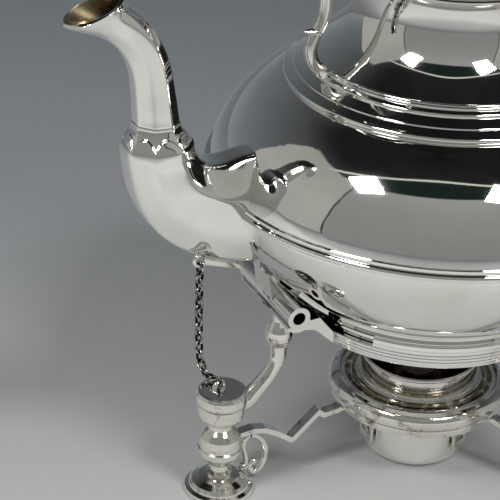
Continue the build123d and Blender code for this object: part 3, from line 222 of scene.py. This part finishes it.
def scorched_cotton():
    """Plaited cotton wick: strands 1 mm apart, scorched brown to black over its top 6 mm."""
    made, tree = blank_material("scorched_cotton")
    place = add(tree, "TexCoord", out="Object")
    strands = add(tree, "TexWave", {"Vector": place, "Scale": band_scale(1.0), "Distortion": 3.0, "Detail": 2.0},
                  out="Fac", wave_type="BANDS", bands_direction="DIAGONAL")
    height = add(tree, "SeparateXYZ", {"Vector": place}, out="Z")
    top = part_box("wick")[1][2]
    burnt = add(tree, "MapRange", {"Value": height, "From Min": top - 6 * MM, "From Max": top})
    cloth = add(tree, "ValToRGB", {"Fac": strands}, stops=[(0.2, "A89F8A"), (0.8, "D8D0BC")])
    colour = add(tree, "Mix", {0: burnt, 6: cloth, 7: "17120E"}, out=2, data_type="RGBA")
    bump = add(tree, "Bump", {"Height": strands, "Distance": 0.15 * MM})
    shader = add(tree, "BsdfPrincipled", {"Base Color": colour, "Roughness": 0.9, "Sheen Weight": 0.3, "Normal": bump})
    add(tree, "OutputMaterial", {"Surface": shader})
    return made


silver = polished_silver("hand_polished_silver")
gilding = gilded()
lamp_finish = lamp_silver()
rubbed_wire = chain_wire("rubbed_chain_wire", "5E5B55", "A5A299", "E6E3DB")
# A near-black copy of the wire: painted shade on the links' inner sides.
shade_painted_wire = chain_wire("shade_painted_chain_wire", "161412", "23201D", "4A4640")
# Cast and filed parts are duller than raised ones, and keep more tarnish.
filed = {"clean": "F2F0EC", "dull": "D9D6CD", "tarnish": "6B5434", "spread": 0.12, "low": 0.06, "high": 0.18,
         "wave": 0.02}
cast = polished_silver("cast_silver", **filed)
finishes = {
    "lamp_holder": polished_silver("lamp_holder_silver", "F2F0EB", "DAD7CF", "7A6140", spread=0.25, low=0.04,
                                   high=0.13),
    "lamp_plate": lamp_finish,
    "reservoir": polished_silver("reservoir_silver", "F5F3EF", "E4E1DB", low=0.16, high=0.26, wave=0.03),
    "front_chain": shade_painted_wire,
    "front_pin": polished_silver("pin_silver", blackened_below=-14.0, **filed),
    "wick_tube": heat_browned_shade_painted_brass(),
    "wick": scorched_cotton(),
    "handle_grip": ebonised_wood("ebonised_grip", "X"),
    "finial_knob": ebonised_wood("ebonised_knob", "Z"),
}
cast_nodes = ["front_staple", "front_handle_bracket", "rear_handle_bracket", "rear_pin"]
for side in ("front_", "right_", "left_"):
    cast_nodes += [side + part for part in ("leg", "leg_cap", "foot", "stretcher", "scroll")]
for name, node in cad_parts.items():
    node.data.materials.clear()
    node.data.materials.append(finishes.get(name, cast if name in cast_nodes else silver))


# ---------------------------------------------------------------- surfaces worked out on grids

def run_lengths(points):
    """Distance run from the first point to each, the sum of the straight steps between them."""
    return np.concatenate([[0], np.cumsum(np.linalg.norm(np.diff(points, axis=0), axis=1))])


def spline(points, count, axes):
    """Natural cubic spline through points, as count evenly spaced rows, by the chord length of the first axes numbers.

    Between two points it is the cubic whose second derivatives, found from one tridiagonal system, agree at each point.
    """
    points = np.array(points, float)
    t = run_lengths(points[:, :axes])
    h = np.diff(t)
    last = len(t) - 1
    system = np.eye(len(t))
    right = np.zeros_like(points)
    rows = np.arange(1, last)
    system[rows, rows - 1] = h[:-1]
    system[rows, rows] = 2 * (h[:-1] + h[1:])
    system[rows, rows + 1] = h[1:]
    slope = np.diff(points, axis=0) / h[:, None]
    right[1:-1] = 6 * np.diff(slope, axis=0)
    bend = np.linalg.solve(system, right)
    at = np.linspace(0, t[-1], count)
    k = np.clip(np.searchsorted(t, at) - 1, 0, last - 1)
    a, b, hk = (t[k + 1] - at)[:, None], (at - t[k])[:, None], h[k][:, None]
    cubic = (bend[k] * a ** 3 + bend[k + 1] * b ** 3) / (6 * hk)
    return cubic + (points[k] / hk - bend[k] * hk / 6) * a + (points[k + 1] / hk - bend[k + 1] * hk / 6) * b


def quads(rows, columns):
    """Corner numbers of the faces of a grid whose columns close on themselves."""
    i, j = np.meshgrid(np.arange(rows - 1), np.arange(columns), indexing="ij")
    k = (j + 1) % columns
    return np.stack([i * columns + j, i * columns + k, (i + 1) * columns + k, (i + 1) * columns + j], -1).reshape(-1, 4)


def about_axis(r, a, z):
    """Points in mm at radius r, angle a and height z about the kettle's axis: x = r cos a, y = r sin a."""
    return np.stack([AXIS_X / MM + r * np.cos(a), r * np.sin(a), z + 0 * a], -1)


def surface(name, points, faces, materials, body, smooth_angle=40):
    """An object at the origin from points in mm and four-cornered faces, riding a body if one is named.

    Edges sharper than smooth_angle degrees stay crisp.
    """
    mesh = bpy.data.meshes.new(name)
    points = points.reshape(-1, 3) * MM
    mesh.vertices.add(len(points))
    mesh.vertices.foreach_set("co", points.astype(np.float32).ravel())
    mesh.loops.add(faces.size)
    mesh.loops.foreach_set("vertex_index", faces.astype(np.int32).ravel())
    mesh.polygons.add(len(faces))
    mesh.polygons.foreach_set("loop_start", np.arange(0, faces.size, 4, dtype=np.int32))
    mesh.polygons.foreach_set("use_smooth", np.ones(len(faces), bool))
    mesh.update(calc_edges=True)
    mesh.validate()
    mesh.set_sharp_from_angle(angle=math.radians(smooth_angle))
    for made in materials:
        mesh.materials.append(made)
    piece = in_scene(name, mesh)
    if body:
        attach(piece, body)
    return piece


def wall(piece, thickness, inside=0, edge=0.0, rim=True):
    """Gives an open skin a wall thickness mm deep on its inner side, or on its outer side where thickness is below 0.

    The new face takes the material inside places further on in the piece's list. The rim closes the wall's ends, and
    where edge is given, they are rounded by edge mm.
    """
    shell = piece.modifiers.new("wall", "SOLIDIFY")
    shell.thickness = thickness * MM
    shell.offset = -1.0
    shell.material_offset = inside
    shell.use_even_offset = True
    shell.use_rim = rim
    if edge:
        round_over = piece.modifiers.new("rounded_edge", "BEVEL")
        round_over.width = edge * MM
        round_over.segments = 3
        round_over.limit_method = "ANGLE"
        round_over.angle_limit = math.radians(60)


# ---------------------------------------------------------------- the spout

# Stations along the spout from inside the bowl to the lip: x from the kettle's axis and z, in mm, rise of the spout in
# degrees, height and width of its section in mm, and how crisp its eight arrises are.
SPOUT = [
    (-82.0, 129.8, 5.0, 45.0, 25.2, 26), (-90.0, 130.5, 8.0, 43.0, 25.5, 26), (-102.5, 133.5, 24.0, 37.0, 26.5, 24),
    (-113.5, 141.0, 50.0, 31.0, 26.8, 22), (-119.4, 151.0, 74.0, 26.4, 24.9, 20), (-121.0, 157.5, 82.0, 25.4, 24.0, 18),
    (-121.5, 162.4, 87.0, 24.2, 22.9, 18), (-121.8, 166.0, 90.0, 19.6, 18.8, 20), (-122.0, 169.8, 92.0, 17.1, 16.5, 22),
    (-122.5, 175.5, 94.0, 16.4, 15.8, 22), (-123.6, 184.4, 91.0, 15.4, 15.2, 22),
    (-125.0, 192.0, 85.0, 15.0, 15.0, 22), (-128.2, 200.0, 70.0, 14.8, 14.8, 20), (-132.4, 206.0, 56.0, 14.8, 14.8, 16),
    (-137.4, 210.4, 46.0, 15.0, 15.2, 10), (-141.8, 213.2, 51.0, 17.2, 16.4, 5), (-146.2, 216.1, 67.5, 24.4, 18.4, 2),
]
SPOUT_WALL = 1.3
# Heights at which the knuckle between root and neck starts and ends.
KNUCKLE = (158.6, 170.2)
PANELS = np.arange(8) * math.pi / 4


def spout_ring(row, theta, proud):
    """Points of the spout's sections: an oval whose radius is 1 / (sum over 8 sides of cos(angle to side) ^ p) ^ (1/p).

    A large p gives eight flat panels with crisp arrises, and p = 2 a plain oval. Each section stands square to the
    spout, and proud mm outside its height and width.
    """
    x, z, rise, tall, wide, crisp = [row[:, i, None] for i in range(6)]
    power = np.maximum(crisp, 2.0)[..., None]
    toward = np.clip(np.cos(theta[None, :, None] - PANELS), 0, None)
    ahead = np.clip(np.cos(PANELS), 0, None)
    reach = (toward ** power).sum(-1) ** (-1 / power[..., 0]) / (ahead ** power).sum(-1) ** (-1 / power[..., 0])
    up = (tall / 2 + proud) * reach * np.cos(theta)
    side = (wide / 2 + proud) * reach * np.sin(theta)
    a = np.radians(rise)
    return np.stack([AXIS_X / MM + x + up * np.sin(a), side, z + up * np.cos(a)], -1)


def scallops(theta, height):
    """Rounded arches, one to each panel: height * (1 - |share of the half panel| ^ 2.6), lowest at the arrises."""
    share = np.abs((theta / PANELS[1] + 0.5) % 1 - 0.5) * 2
    return height * (1 - share ** 2.6)


def spout():
    """The swollen root, the scalloped knuckle and the swan-neck, three skins cut from one spine at the knuckle."""
    row = spline(SPOUT, 800, axes=2)
    s = run_lengths(row[:, :2])
    theta = np.linspace(0, 2 * math.pi, 240, endpoint=False)
    low, top = [s[np.argmin(np.abs(row[:, 1] - z))] for z in KNUCKLE]
    # Each panel of the root stands 0.6 mm proud and ends in an arch, and the cove above it rises to a thin collar.
    arch = low + 4.2 + scallops(theta, 3.4)
    rise = np.clip((arch[None, :] - s[:, None]) / 0.4 + 0.5, 0, 1)
    swell = 0.6 * rise * rise * (3 - 2 * rise)
    collar = 0.2 * np.exp(-((s - top + 0.4) / 0.35) ** 2)[:, None]
    # The neck's end starts 0.8 mm down inside the knuckle's collar. Each piece keeps one section in every step.
    parts = [("swollen_root", 0.0, low, "spout_root", 6), ("scalloped_knuckle", low, top, "spout_band", 1),
             ("swan_neck", top - 0.8, s[-1], "spout_neck", 4)]
    for name, start, end, node, step in parts:
        keep = np.where((s >= start) & (s <= end))[0]
        keep = np.unique(np.concatenate([keep[::step], keep[-1:]]))
        neck = name == "swan_neck"
        sunk = 0.25 * (s < top)[:, None] if neck else 0.0
        grid = spout_ring(row, theta, swell + collar - sunk)[keep]
        piece = surface(name, grid, quads(*grid.shape[:2]), [silver, gilding], "kettle",
                        smooth_angle=60)
        wall(piece, SPOUT_WALL, inside=1 if neck else 0, edge=0.35 if neck else 0.0, rim=neck)
        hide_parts(node)


# ---------------------------------------------------------------- mouldings turned round the axis

FULL_TURN = np.linspace(0, 2 * math.pi, 256, endpoint=False)


def turned(name, table, finish, body, node, around=FULL_TURN, top=math.inf, near=0.0):
    """A closed profile swept round the kettle's axis, with one column of points at each angle of around.

    The profile's rows are radius, height and bulge in mm. From one row to the next it is the parabola that stands bulge
    out from the straight line at its middle. A column reaches no higher than top and no nearer to the axis than near.
    """
    rows = np.array(table, float)
    run = rows[1:, :2] - rows[:-1, :2]
    square = np.stack([run[:, 1], -run[:, 0]], -1) / np.linalg.norm(run, axis=1)[:, None]
    t = np.linspace(0, 1, 9, endpoint=False)[None, :, None]
    line = rows[:-1, None, :2] + run[:, None] * t + square[:, None] * rows[:-1, 2, None, None] * 4 * t * (1 - t)
    line = np.concatenate([line.reshape(-1, 2), rows[-1:, :2]])
    grid = about_axis(np.maximum(line[:, 0, None], near), around, np.minimum(line[:, 1, None], top))
    piece = surface(name, grid, quads(*grid.shape[:2]), [finish], body, smooth_angle=32)
    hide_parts(node)


# Each profile's rows are radius, height and bulge to the next row, as turned says.

# Applied mount under the neck: a bold bead, then thin upright reeds with plain slopes of 30 degrees between them.
SHOULDER_MOUNT = [
    (62.6, 169.6, 0.0), (63.2, 170.1, 0.8), (62.4, 172.5, 0.0), (59.8, 174.0, 0.12), (59.7, 174.6, 0.0),
    (55.9, 176.8, 0.3), (55.4, 178.4, 0.0), (54.1, 179.1, 0.3), (53.7, 180.3, 0.2), (52.8, 181.1, 0.0),
    (51.6, 181.1, 0.0), (51.6, 177.5, 0.0), (58.0, 171.0, 0.0), (62.6, 169.6, 0.0),
]

# Ring that carries the kettle: four reeds up its outside, a gallery wall above them, and the ledge inside. Beside each
# hinge, within HINGE_GAP of it, the gallery is cut down to GAP_TOP.
CARRYING_RING = [
    (52.2, 70.3, 0.0), (54.2, 70.3, 0.5), (55.7, 72.1, 0.0), (55.9, 72.4, 0.38), (56.4, 74.0, 0.0), (56.6, 74.3, 0.34),
    (57.0, 75.8, 0.0), (57.2, 76.1, 0.3), (57.5, 77.5, 0.0), (57.7, 77.7, 0.14), (58.0, 79.0, 0.0), (57.7, 79.2, 0.0),
    (57.7, 80.9, 0.0), (57.9, 81.0, 0.25), (56.9, 81.9, 0.1), (56.4, 81.5, 0.0), (56.4, 76.0, 0.0), (51.0, 76.0, 0.0),
    (51.0, 73.8, 0.0), (52.2, 73.8, 0.0), (52.2, 70.3, 0.0),
]
HINGES = [0.0, math.pi]
HINGE_GAP = math.radians(39.0)
GAP_TOP = 78.1

# Ring that holds the lamp: a foot bead, a reed, a groove and a broad roll, with the ledge and the bore inside. Three
# tabs hang under it, pieces of a sleeve with the bore's radius. The slot in each is twice SLOT_HALF wide, and goes on
# up through the ring, whose bore is let out to SLOT_OUT there. It has that width at SLOT_MIDDLE from the axis.
SLEEVE_R = 22.3
SLOT_HALF = 1.45
SLOT_MIDDLE = 23.5
SLOT_OUT = 25.0
TAB_ANGLES = [math.radians(degrees) for degrees in (183.0, 303.0, 63.0)]
HOLDER_ROLL = [
    (SLEEVE_R, 28.5, 0.0), (30.4, 27.1, 0.0), (32.4, 24.5, 0.0), (34.6, 24.5, 0.5), (36.0, 26.3, 0.0),
    (36.2, 26.5, 0.5), (36.9, 29.0, -0.2), (37.0, 29.8, 1.7), (34.6, 36.0, 0.1), (33.6, 36.3, 0.1), (33.3, 35.8, 0.0),
    (33.3, 33.6, 0.0),
    (SLEEVE_R, 33.6, 0.0), (SLEEVE_R, 28.5, 0.0),
]

# Plate of the lamp, with its heavy collar: the ring that browns lies between two grooves.
LAMP_PLATE = [
    (10.0, 33.65, 0.0), (32.8, 33.65, 0.0), (32.8, 34.6, 0.4), (31.2, 35.1, 0.0), (30.9, 34.8, 0.6), (28.0, 35.2, 0.0),
    (27.7, 35.0, 0.5), (25.5, 35.8, 0.0), (25.3, 35.7, 0.3), (24.4, 36.9, 0.0), (24.3, 43.9, 0.0), (24.2, 44.0, 0.4),
    (23.4, 45.3, 0.1), (22.8, 44.8, 0.0), (22.8, 35.2, 0.0), (10.0, 34.9, 0.0), (10.0, 33.65, 0.0),
]


def stepped_angles(half_gap, places):
    """Angles round a ring, with a close pair at each side of the gaps at places, and which of them lie in a gap."""
    step = 0.001
    edges = [place + sign * edge for place in places for edge in (half_gap - step, half_gap) for sign in (-1, 1)]
    a = np.sort(np.concatenate([FULL_TURN, np.array(edges) % (2 * math.pi)]))
    off = np.abs((a[:, None] - np.array(places) + math.pi) % (2 * math.pi) - math.pi)
    return a, (off < half_gap - step / 2).any(1)


def bayonet_tabs():
    """Three tabs under the holder, pieces of a sleeve with an L-shaped slot for the studs of the reservoir.

    A tab is a grid of cells over its width and height, with the slot's cells left out, bent round the axis: a point at
    width w stands at the tab's angle + w / radius. The upright part of the slot is at width 0, where a stud drops in,
    and its foot runs twist mm from there, to where the twisted lamp is held.
    """
    twist, edge, stud_z = 3.66, 1.6, 12.0
    lines = np.array([-twist - SLOT_HALF - edge, -twist - SLOT_HALF, -SLOT_HALF, SLOT_HALF, SLOT_HALF + edge])
    widths = np.unique(np.concatenate([np.linspace(p, q, 6) for p, q in zip(lines, lines[1:])]))
    heights = np.array([7.0, stud_z - SLOT_HALF, stud_z + SLOT_HALF, 20.0, 27.8])
    w, z = np.meshgrid(widths, heights)
    cells = quads(len(heights), len(widths)).reshape(len(heights) - 1, len(widths), 4)[:, :-1]
    middle, level = (widths[1:] + widths[:-1]) / 2, (heights[1:] + heights[:-1]) / 2
    foot = (np.abs(middle + twist / 2) < twist / 2 + SLOT_HALF) & (np.abs(level - stud_z) < SLOT_HALF)[:, None]
    upright = (np.abs(middle) < SLOT_HALF) & (level > stud_z)[:, None]
    cells = cells[~(foot | upright)]
    points = np.stack([about_axis(SLEEVE_R, angle + w / SLEEVE_R, z) for angle in TAB_ANGLES])
    faces = np.concatenate([cells + i * w.size for i in range(len(TAB_ANGLES))])
    piece = surface("bayonet_tabs", points, faces, [cast], "stand")
    wall(piece, -1.3, edge=0.2)
    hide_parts("lamp_holder")


# ---------------------------------------------------------------- the chain

def link_chain():
    """Oval links of round wire from the pin's eye to the staple, each turned a quarter from the last.

    A link's wire follows (half width * cos u, half length * sin u), and its skin is a circle of the wire's radius
    square to that line. The links' inner sides are near black as painted shade, and their outer sides keep the rubbed
    wire.
    """
    hung = spline([(-92.0, 23.0, 91.0), (-92.5, 21.6, 74.0), (-93.6, 18.2, 59.5), (-94.3, 14.4, 52.4),
                   (-94.2, 9.6, 50.2), (-92.2, 3.0, 50.1)], 2000, axes=3)
    s = run_lengths(hung)
    # Half width and half length of a link, radius of its wire, and room that a link takes along the chain, in mm.
    wide, tall, wire, pitch = 1.55, 2.55, 0.55, 4.05
    # An odd number of links, so that the two end ones stand the same way.
    count = 2 * round((s[-1] / pitch - 1) / 2) + 3
    at = np.searchsorted(s, np.linspace(0, s[-1], count)).clip(2, len(s) - 3)
    along = hung[at + 2] - hung[at - 2]
    along /= np.linalg.norm(along, axis=1)[:, None]
    # Every other link faces 20 degrees away from the X axis, as far as the line of the chain lets it.
    facing = math.radians(20)
    flat = np.array([math.cos(facing), math.sin(facing), 0.0])
    face = flat - along * (along @ flat)[:, None]
    face /= np.linalg.norm(face, axis=1)[:, None]
    across = np.where((np.arange(count) % 2 == 0)[:, None], np.cross(along, face), face)
    third = np.cross(along, across)
    rounds, sides = 28, 10
    u = np.linspace(0, 2 * math.pi, rounds, endpoint=False)
    v = np.linspace(0, 2 * math.pi, sides, endpoint=False)
    side, up = np.cos(u)[None, :, None, None], np.sin(u)[None, :, None, None]
    size = np.sqrt((tall * side) ** 2 + (wide * up) ** 2)
    across, along, third = across[:, None, None], along[:, None, None], third[:, None, None]
    out = (tall * side * across + wide * up * along) / size
    ring = out * np.cos(v)[None, None, :, None] + third * np.sin(v)[None, None, :, None]
    points = hung[at][:, None, None] + wide * side * across + tall * up * along + wire * ring
    # The modulus joins a link's last ring of corners to its first.
    corners = rounds * sides
    link = quads(rounds + 1, sides) % corners
    faces = (link[None] + corners * np.arange(count)[:, None, None]).reshape(-1, 4)
    piece = surface("link_chain", points + [AXIS_X / MM, 0, 0], faces, [rubbed_wire, shade_painted_wire], None)
    # The inner half of each wire's round, where the links meet, takes the near-black copy as painted shade.
    inner = np.tile(np.cos(v + math.pi / sides) < 0.1, rounds * count)
    piece.data.polygons.foreach_set("material_index", inner.astype(np.int32))
    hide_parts("front_chain")
    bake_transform(piece)


spout()
turned("reeded_mount", SHOULDER_MOUNT, silver, "kettle", "shoulder_moulding")
around, beside_hinge = stepped_angles(HINGE_GAP, HINGES)
turned("reeded_ring", CARRYING_RING, silver, "stand", "stand_ring", around,
       top=np.where(beside_hinge, GAP_TOP, math.inf))
around, over_slot = stepped_angles(SLOT_HALF / SLOT_MIDDLE, TAB_ANGLES)
turned("rolled_holder", HOLDER_ROLL, finishes["lamp_holder"], "stand", "lamp_holder", around,
       near=np.where(over_slot, SLOT_OUT, 0.0))
bayonet_tabs()
turned("spun_lamp_plate", LAMP_PLATE, lamp_finish, "lamp", "lamp_plate")
link_chain()


# ---------------------------------------------------------------- floor, studio and camera

def studio_floor():
    """A large sheet of pale card under the feet, brightest just in front of the kettle and darker and cooler behind."""
    mesh = bpy.data.meshes.new("floor_sheet")
    half = 3.0
    mesh.from_pydata([(-half, -half, 0), (half, -half, 0), (half, half, 0), (-half, half, 0)], [], [(0, 1, 2, 3)])
    sheet = in_scene("floor_sheet", mesh)
    made, tree = blank_material("pale_card")
    place = add(tree, "TexCoord", out="Object")
    turned_place = add(tree, "Mapping", {"Vector": place, "Rotation": (0, 0, math.radians(-FRONT))})
    ahead = add(tree, "SeparateXYZ", {"Vector": turned_place}, out="X")
    # The tones run from 0.7 m behind the kettle to 0.7 m in front of it. Their fall to darker and cooler behind the
    # kettle is a painted fall-off of the light.
    depth = add(tree, "MapRange", {"Value": ahead, "From Min": -0.7, "From Max": 0.7})
    tone = add(tree, "ValToRGB", {"Fac": depth}, stops=[
        (0.0, "5F666D"), (0.18, "757C82"), (0.4, "919496"), (0.535, "ACACA9"), (0.62, "BEBEBB"), (0.72, "BCBCB9"),
        (0.85, "8E8F8D"), (1.0, "868886")])
    # Painted light: the card glows a little to the camera, and more in the metal's reflections.
    seen = add(tree, "Math", {0: add(tree, "LightPath", out="Is Camera Ray"), 1: 0.075}, operation="MULTIPLY")
    reflected = add(tree, "LightPath", out="Is Glossy Ray")
    painted_glow = add(tree, "Math", {0: reflected, 1: 0.17, 2: seen}, operation="MULTIPLY_ADD")
    shader = add(tree, "BsdfPrincipled", {"Base Color": tone, "Roughness": 0.75, "Emission Color": "DEE1E2",
                                          "Emission Strength": painted_glow})
    add(tree, "OutputMaterial", {"Surface": shader})
    mesh.materials.append(made)


def studio_world():
    """Tent round the table, from the way a ray leaves: a front card, two side cards, a cool open back, a black roof.

    bearing is the angle away from the middle of the front card, and height the angle above the table, in degrees.
    """
    card_side, card_top = 54.0, 54.5
    world = bpy.data.worlds.new("studio_tent")
    bpy.context.scene.world = world
    world.use_nodes = True
    tree = world.node_tree
    tree.nodes.clear()
    place = add(tree, "TexCoord", out="Generated")
    faced = add(tree, "Mapping", {"Vector": place, "Rotation": (0, 0, math.radians(-FRONT))})
    ahead, aside, above = [add(tree, "SeparateXYZ", {"Vector": faced}, out=axis) for axis in "XYZ"]
    angle = add(tree, "Math", {0: aside, 1: ahead}, operation="ARCTAN2")
    away = add(tree, "Math", {0: angle}, operation="ABSOLUTE")
    bearing = add(tree, "Math", {0: away, 1: 180 / math.pi}, operation="MULTIPLY")
    slope = add(tree, "Math", {0: above}, operation="ARCSINE")
    height = add(tree, "Math", {0: slope, 1: 180 / math.pi}, operation="MULTIPLY")

    def between(value, low, high, soft):
        """1 between low and high and 0 outside, with edges that reach soft to each side of them."""
        up = add(tree, "MapRange", {"Value": value, "From Min": low - soft, "From Max": low + soft})
        down = add(tree, "MapRange", {"Value": value, "From Min": high - soft, "From Max": high + soft,
                                      "To Min": 1.0, "To Max": 0.0})
        return add(tree, "Math", {0: up, 1: down}, operation="MULTIPLY")

    def over(below, mask, colour, also=1.0):
        """Colour laid over below where the mask, times also, is 1."""
        mask = add(tree, "Math", {0: mask, 1: also}, operation="MULTIPLY")
        return add(tree, "Mix", {0: mask, 6: below, 7: colour}, out=2, data_type="RGBA")

    # The heights of the front card's top edge and of the bright rail above it fall away to the sides.
    square = add(tree, "Math", {0: bearing, 1: 2.0}, operation="POWER")
    fall = add(tree, "Math", {0: square, 1: 0.002, 2: height}, operation="MULTIPLY_ADD")
    rail = add(tree, "Math", {0: square, 1: 0.0035, 2: height}, operation="MULTIPLY_ADD")
    up = add(tree, "MapRange", {"Value": height, "From Min": -10.0, "From Max": 90.0})
    # The open back, and the black roof over the side cards.
    look = add(tree, "ValToRGB", {"Fac": up}, stops=[
        (0.0, "8B9196"), (0.2, "6B7175"), (0.4, "585C5F"), (0.58, "3E4142"), (0.68, "1E1F1F"), (1.0, "141414")])
    look = over(look, between(bearing, card_side, 126.0, 6.0), "1B1C1C", between(height, 52.0, 130.0, 8.0))
    # The side cards are cut away at their far upper corners.
    side = add(tree, "ValToRGB", {"Fac": up}, stops=[(0.0, "A2A39E"), (0.35, "A6A7A2"), (0.6, "989994")])
    past = add(tree, "Math", {0: bearing, 1: 95.0}, operation="SUBTRACT")
    corner = add(tree, "Math", {0: past, 1: 0.0}, operation="MAXIMUM")
    corner = add(tree, "Math", {0: corner, 1: 2.0}, operation="POWER")
    edge = add(tree, "Math", {0: corner, 1: 0.115, 2: height}, operation="MULTIPLY_ADD")
    look = over(look, between(bearing, card_side, 118.0, 1.5), side, between(edge, -90.0, 48.3, 0.6))
    # The roof over the front card, and the card itself.
    wide = between(bearing, -10.0, card_side, 0.3)
    roof = add(tree, "ValToRGB", {"Fac": up}, stops=[(0.6, "1A1B1B"), (0.8, "202121"), (1.0, "131313")])
    look = over(look, wide, roof)
    front = add(tree, "ValToRGB", {"Fac": up}, stops=[
        (0.0, "858784"), (0.25, "888A87"), (0.5, "8E908D"), (0.7, "9A9B99")])
    look = over(look, wide, front, between(fall, -90.0, card_top, 0.5))
    # A dark green strip from the card's top edge to the bright rail, the rail, and a dark line down the card's side.
    strip = add(tree, "Math", {0: between(fall, card_top, 90.0, 0.5), 1: between(rail, -90.0, 67.0, 0.5)},
                operation="MULTIPLY")
    look = over(look, strip, "1A2622", between(bearing, -10.0, 50.0, 2.0))
    look = over(look, between(rail, 66.6, 68.0, 0.3), "D2D2CC", between(bearing, -10.0, 75.0, 3.0))
    look = over(look, between(bearing, 53.4, 54.4, 0.3), "30302C", between(height, -30.0, 46.0, 2.0))
    # The camera sees an even grey past the floor's far edge.
    look = over(look, add(tree, "LightPath", out="Is Camera Ray"), "656B6F")
    add(tree, "OutputWorld", {"Surface": add(tree, "Background", {"Color": look})})


def softbox(name, azimuth, elevation, reach, side, power):
    """A square soft light hung level over the table, reach metres from the kettle, with a corner pointing at it."""
    lamp = bpy.data.lights.new(name, "AREA")
    lamp.shape = "SQUARE"
    lamp.size = side
    lamp.energy = power
    holder = in_scene(name, lamp)
    middle = Vector((AXIS_X, 0, 0.14))
    a, e = math.radians(azimuth), math.radians(elevation)
    away = Vector((math.cos(e) * math.cos(a), math.cos(e) * math.sin(a), math.sin(e)))
    turn = Matrix.Rotation(a + math.radians(45), 4, "Z")
    holder.matrix_world = Matrix.Translation(middle + away * reach) @ turn


def camera_at_table():
    """A long lens looking down on the kettle from its spout side."""
    lens = bpy.data.cameras.new("table_camera")
    lens.lens = 136.8
    lens.sensor_width = 36
    lens.clip_start = 0.05
    holder = in_scene("table_camera", lens)
    place = Vector((AXIS_X - 0.369188, -0.576996, 0.457580))
    right = Vector((0.90349, -0.426839, 0.038924))
    up = Vector((0.17242, 0.445094, 0.878728))
    back = Vector((-0.3924, -0.78721, 0.475733))
    turn = Matrix((right, up, back)).transposed().to_4x4()
    holder.matrix_world = Matrix.Translation(place) @ turn
    bpy.context.scene.camera = holder


studio_floor()
studio_world()
softbox("left_softbox", -167, 48.5, 1.2, 0.26, 8.5)
softbox("right_softbox", -77, 50, 1.2, 0.28, 9.5)
camera_at_table()
bpy.context.scene.view_settings.view_transform = "Standard"
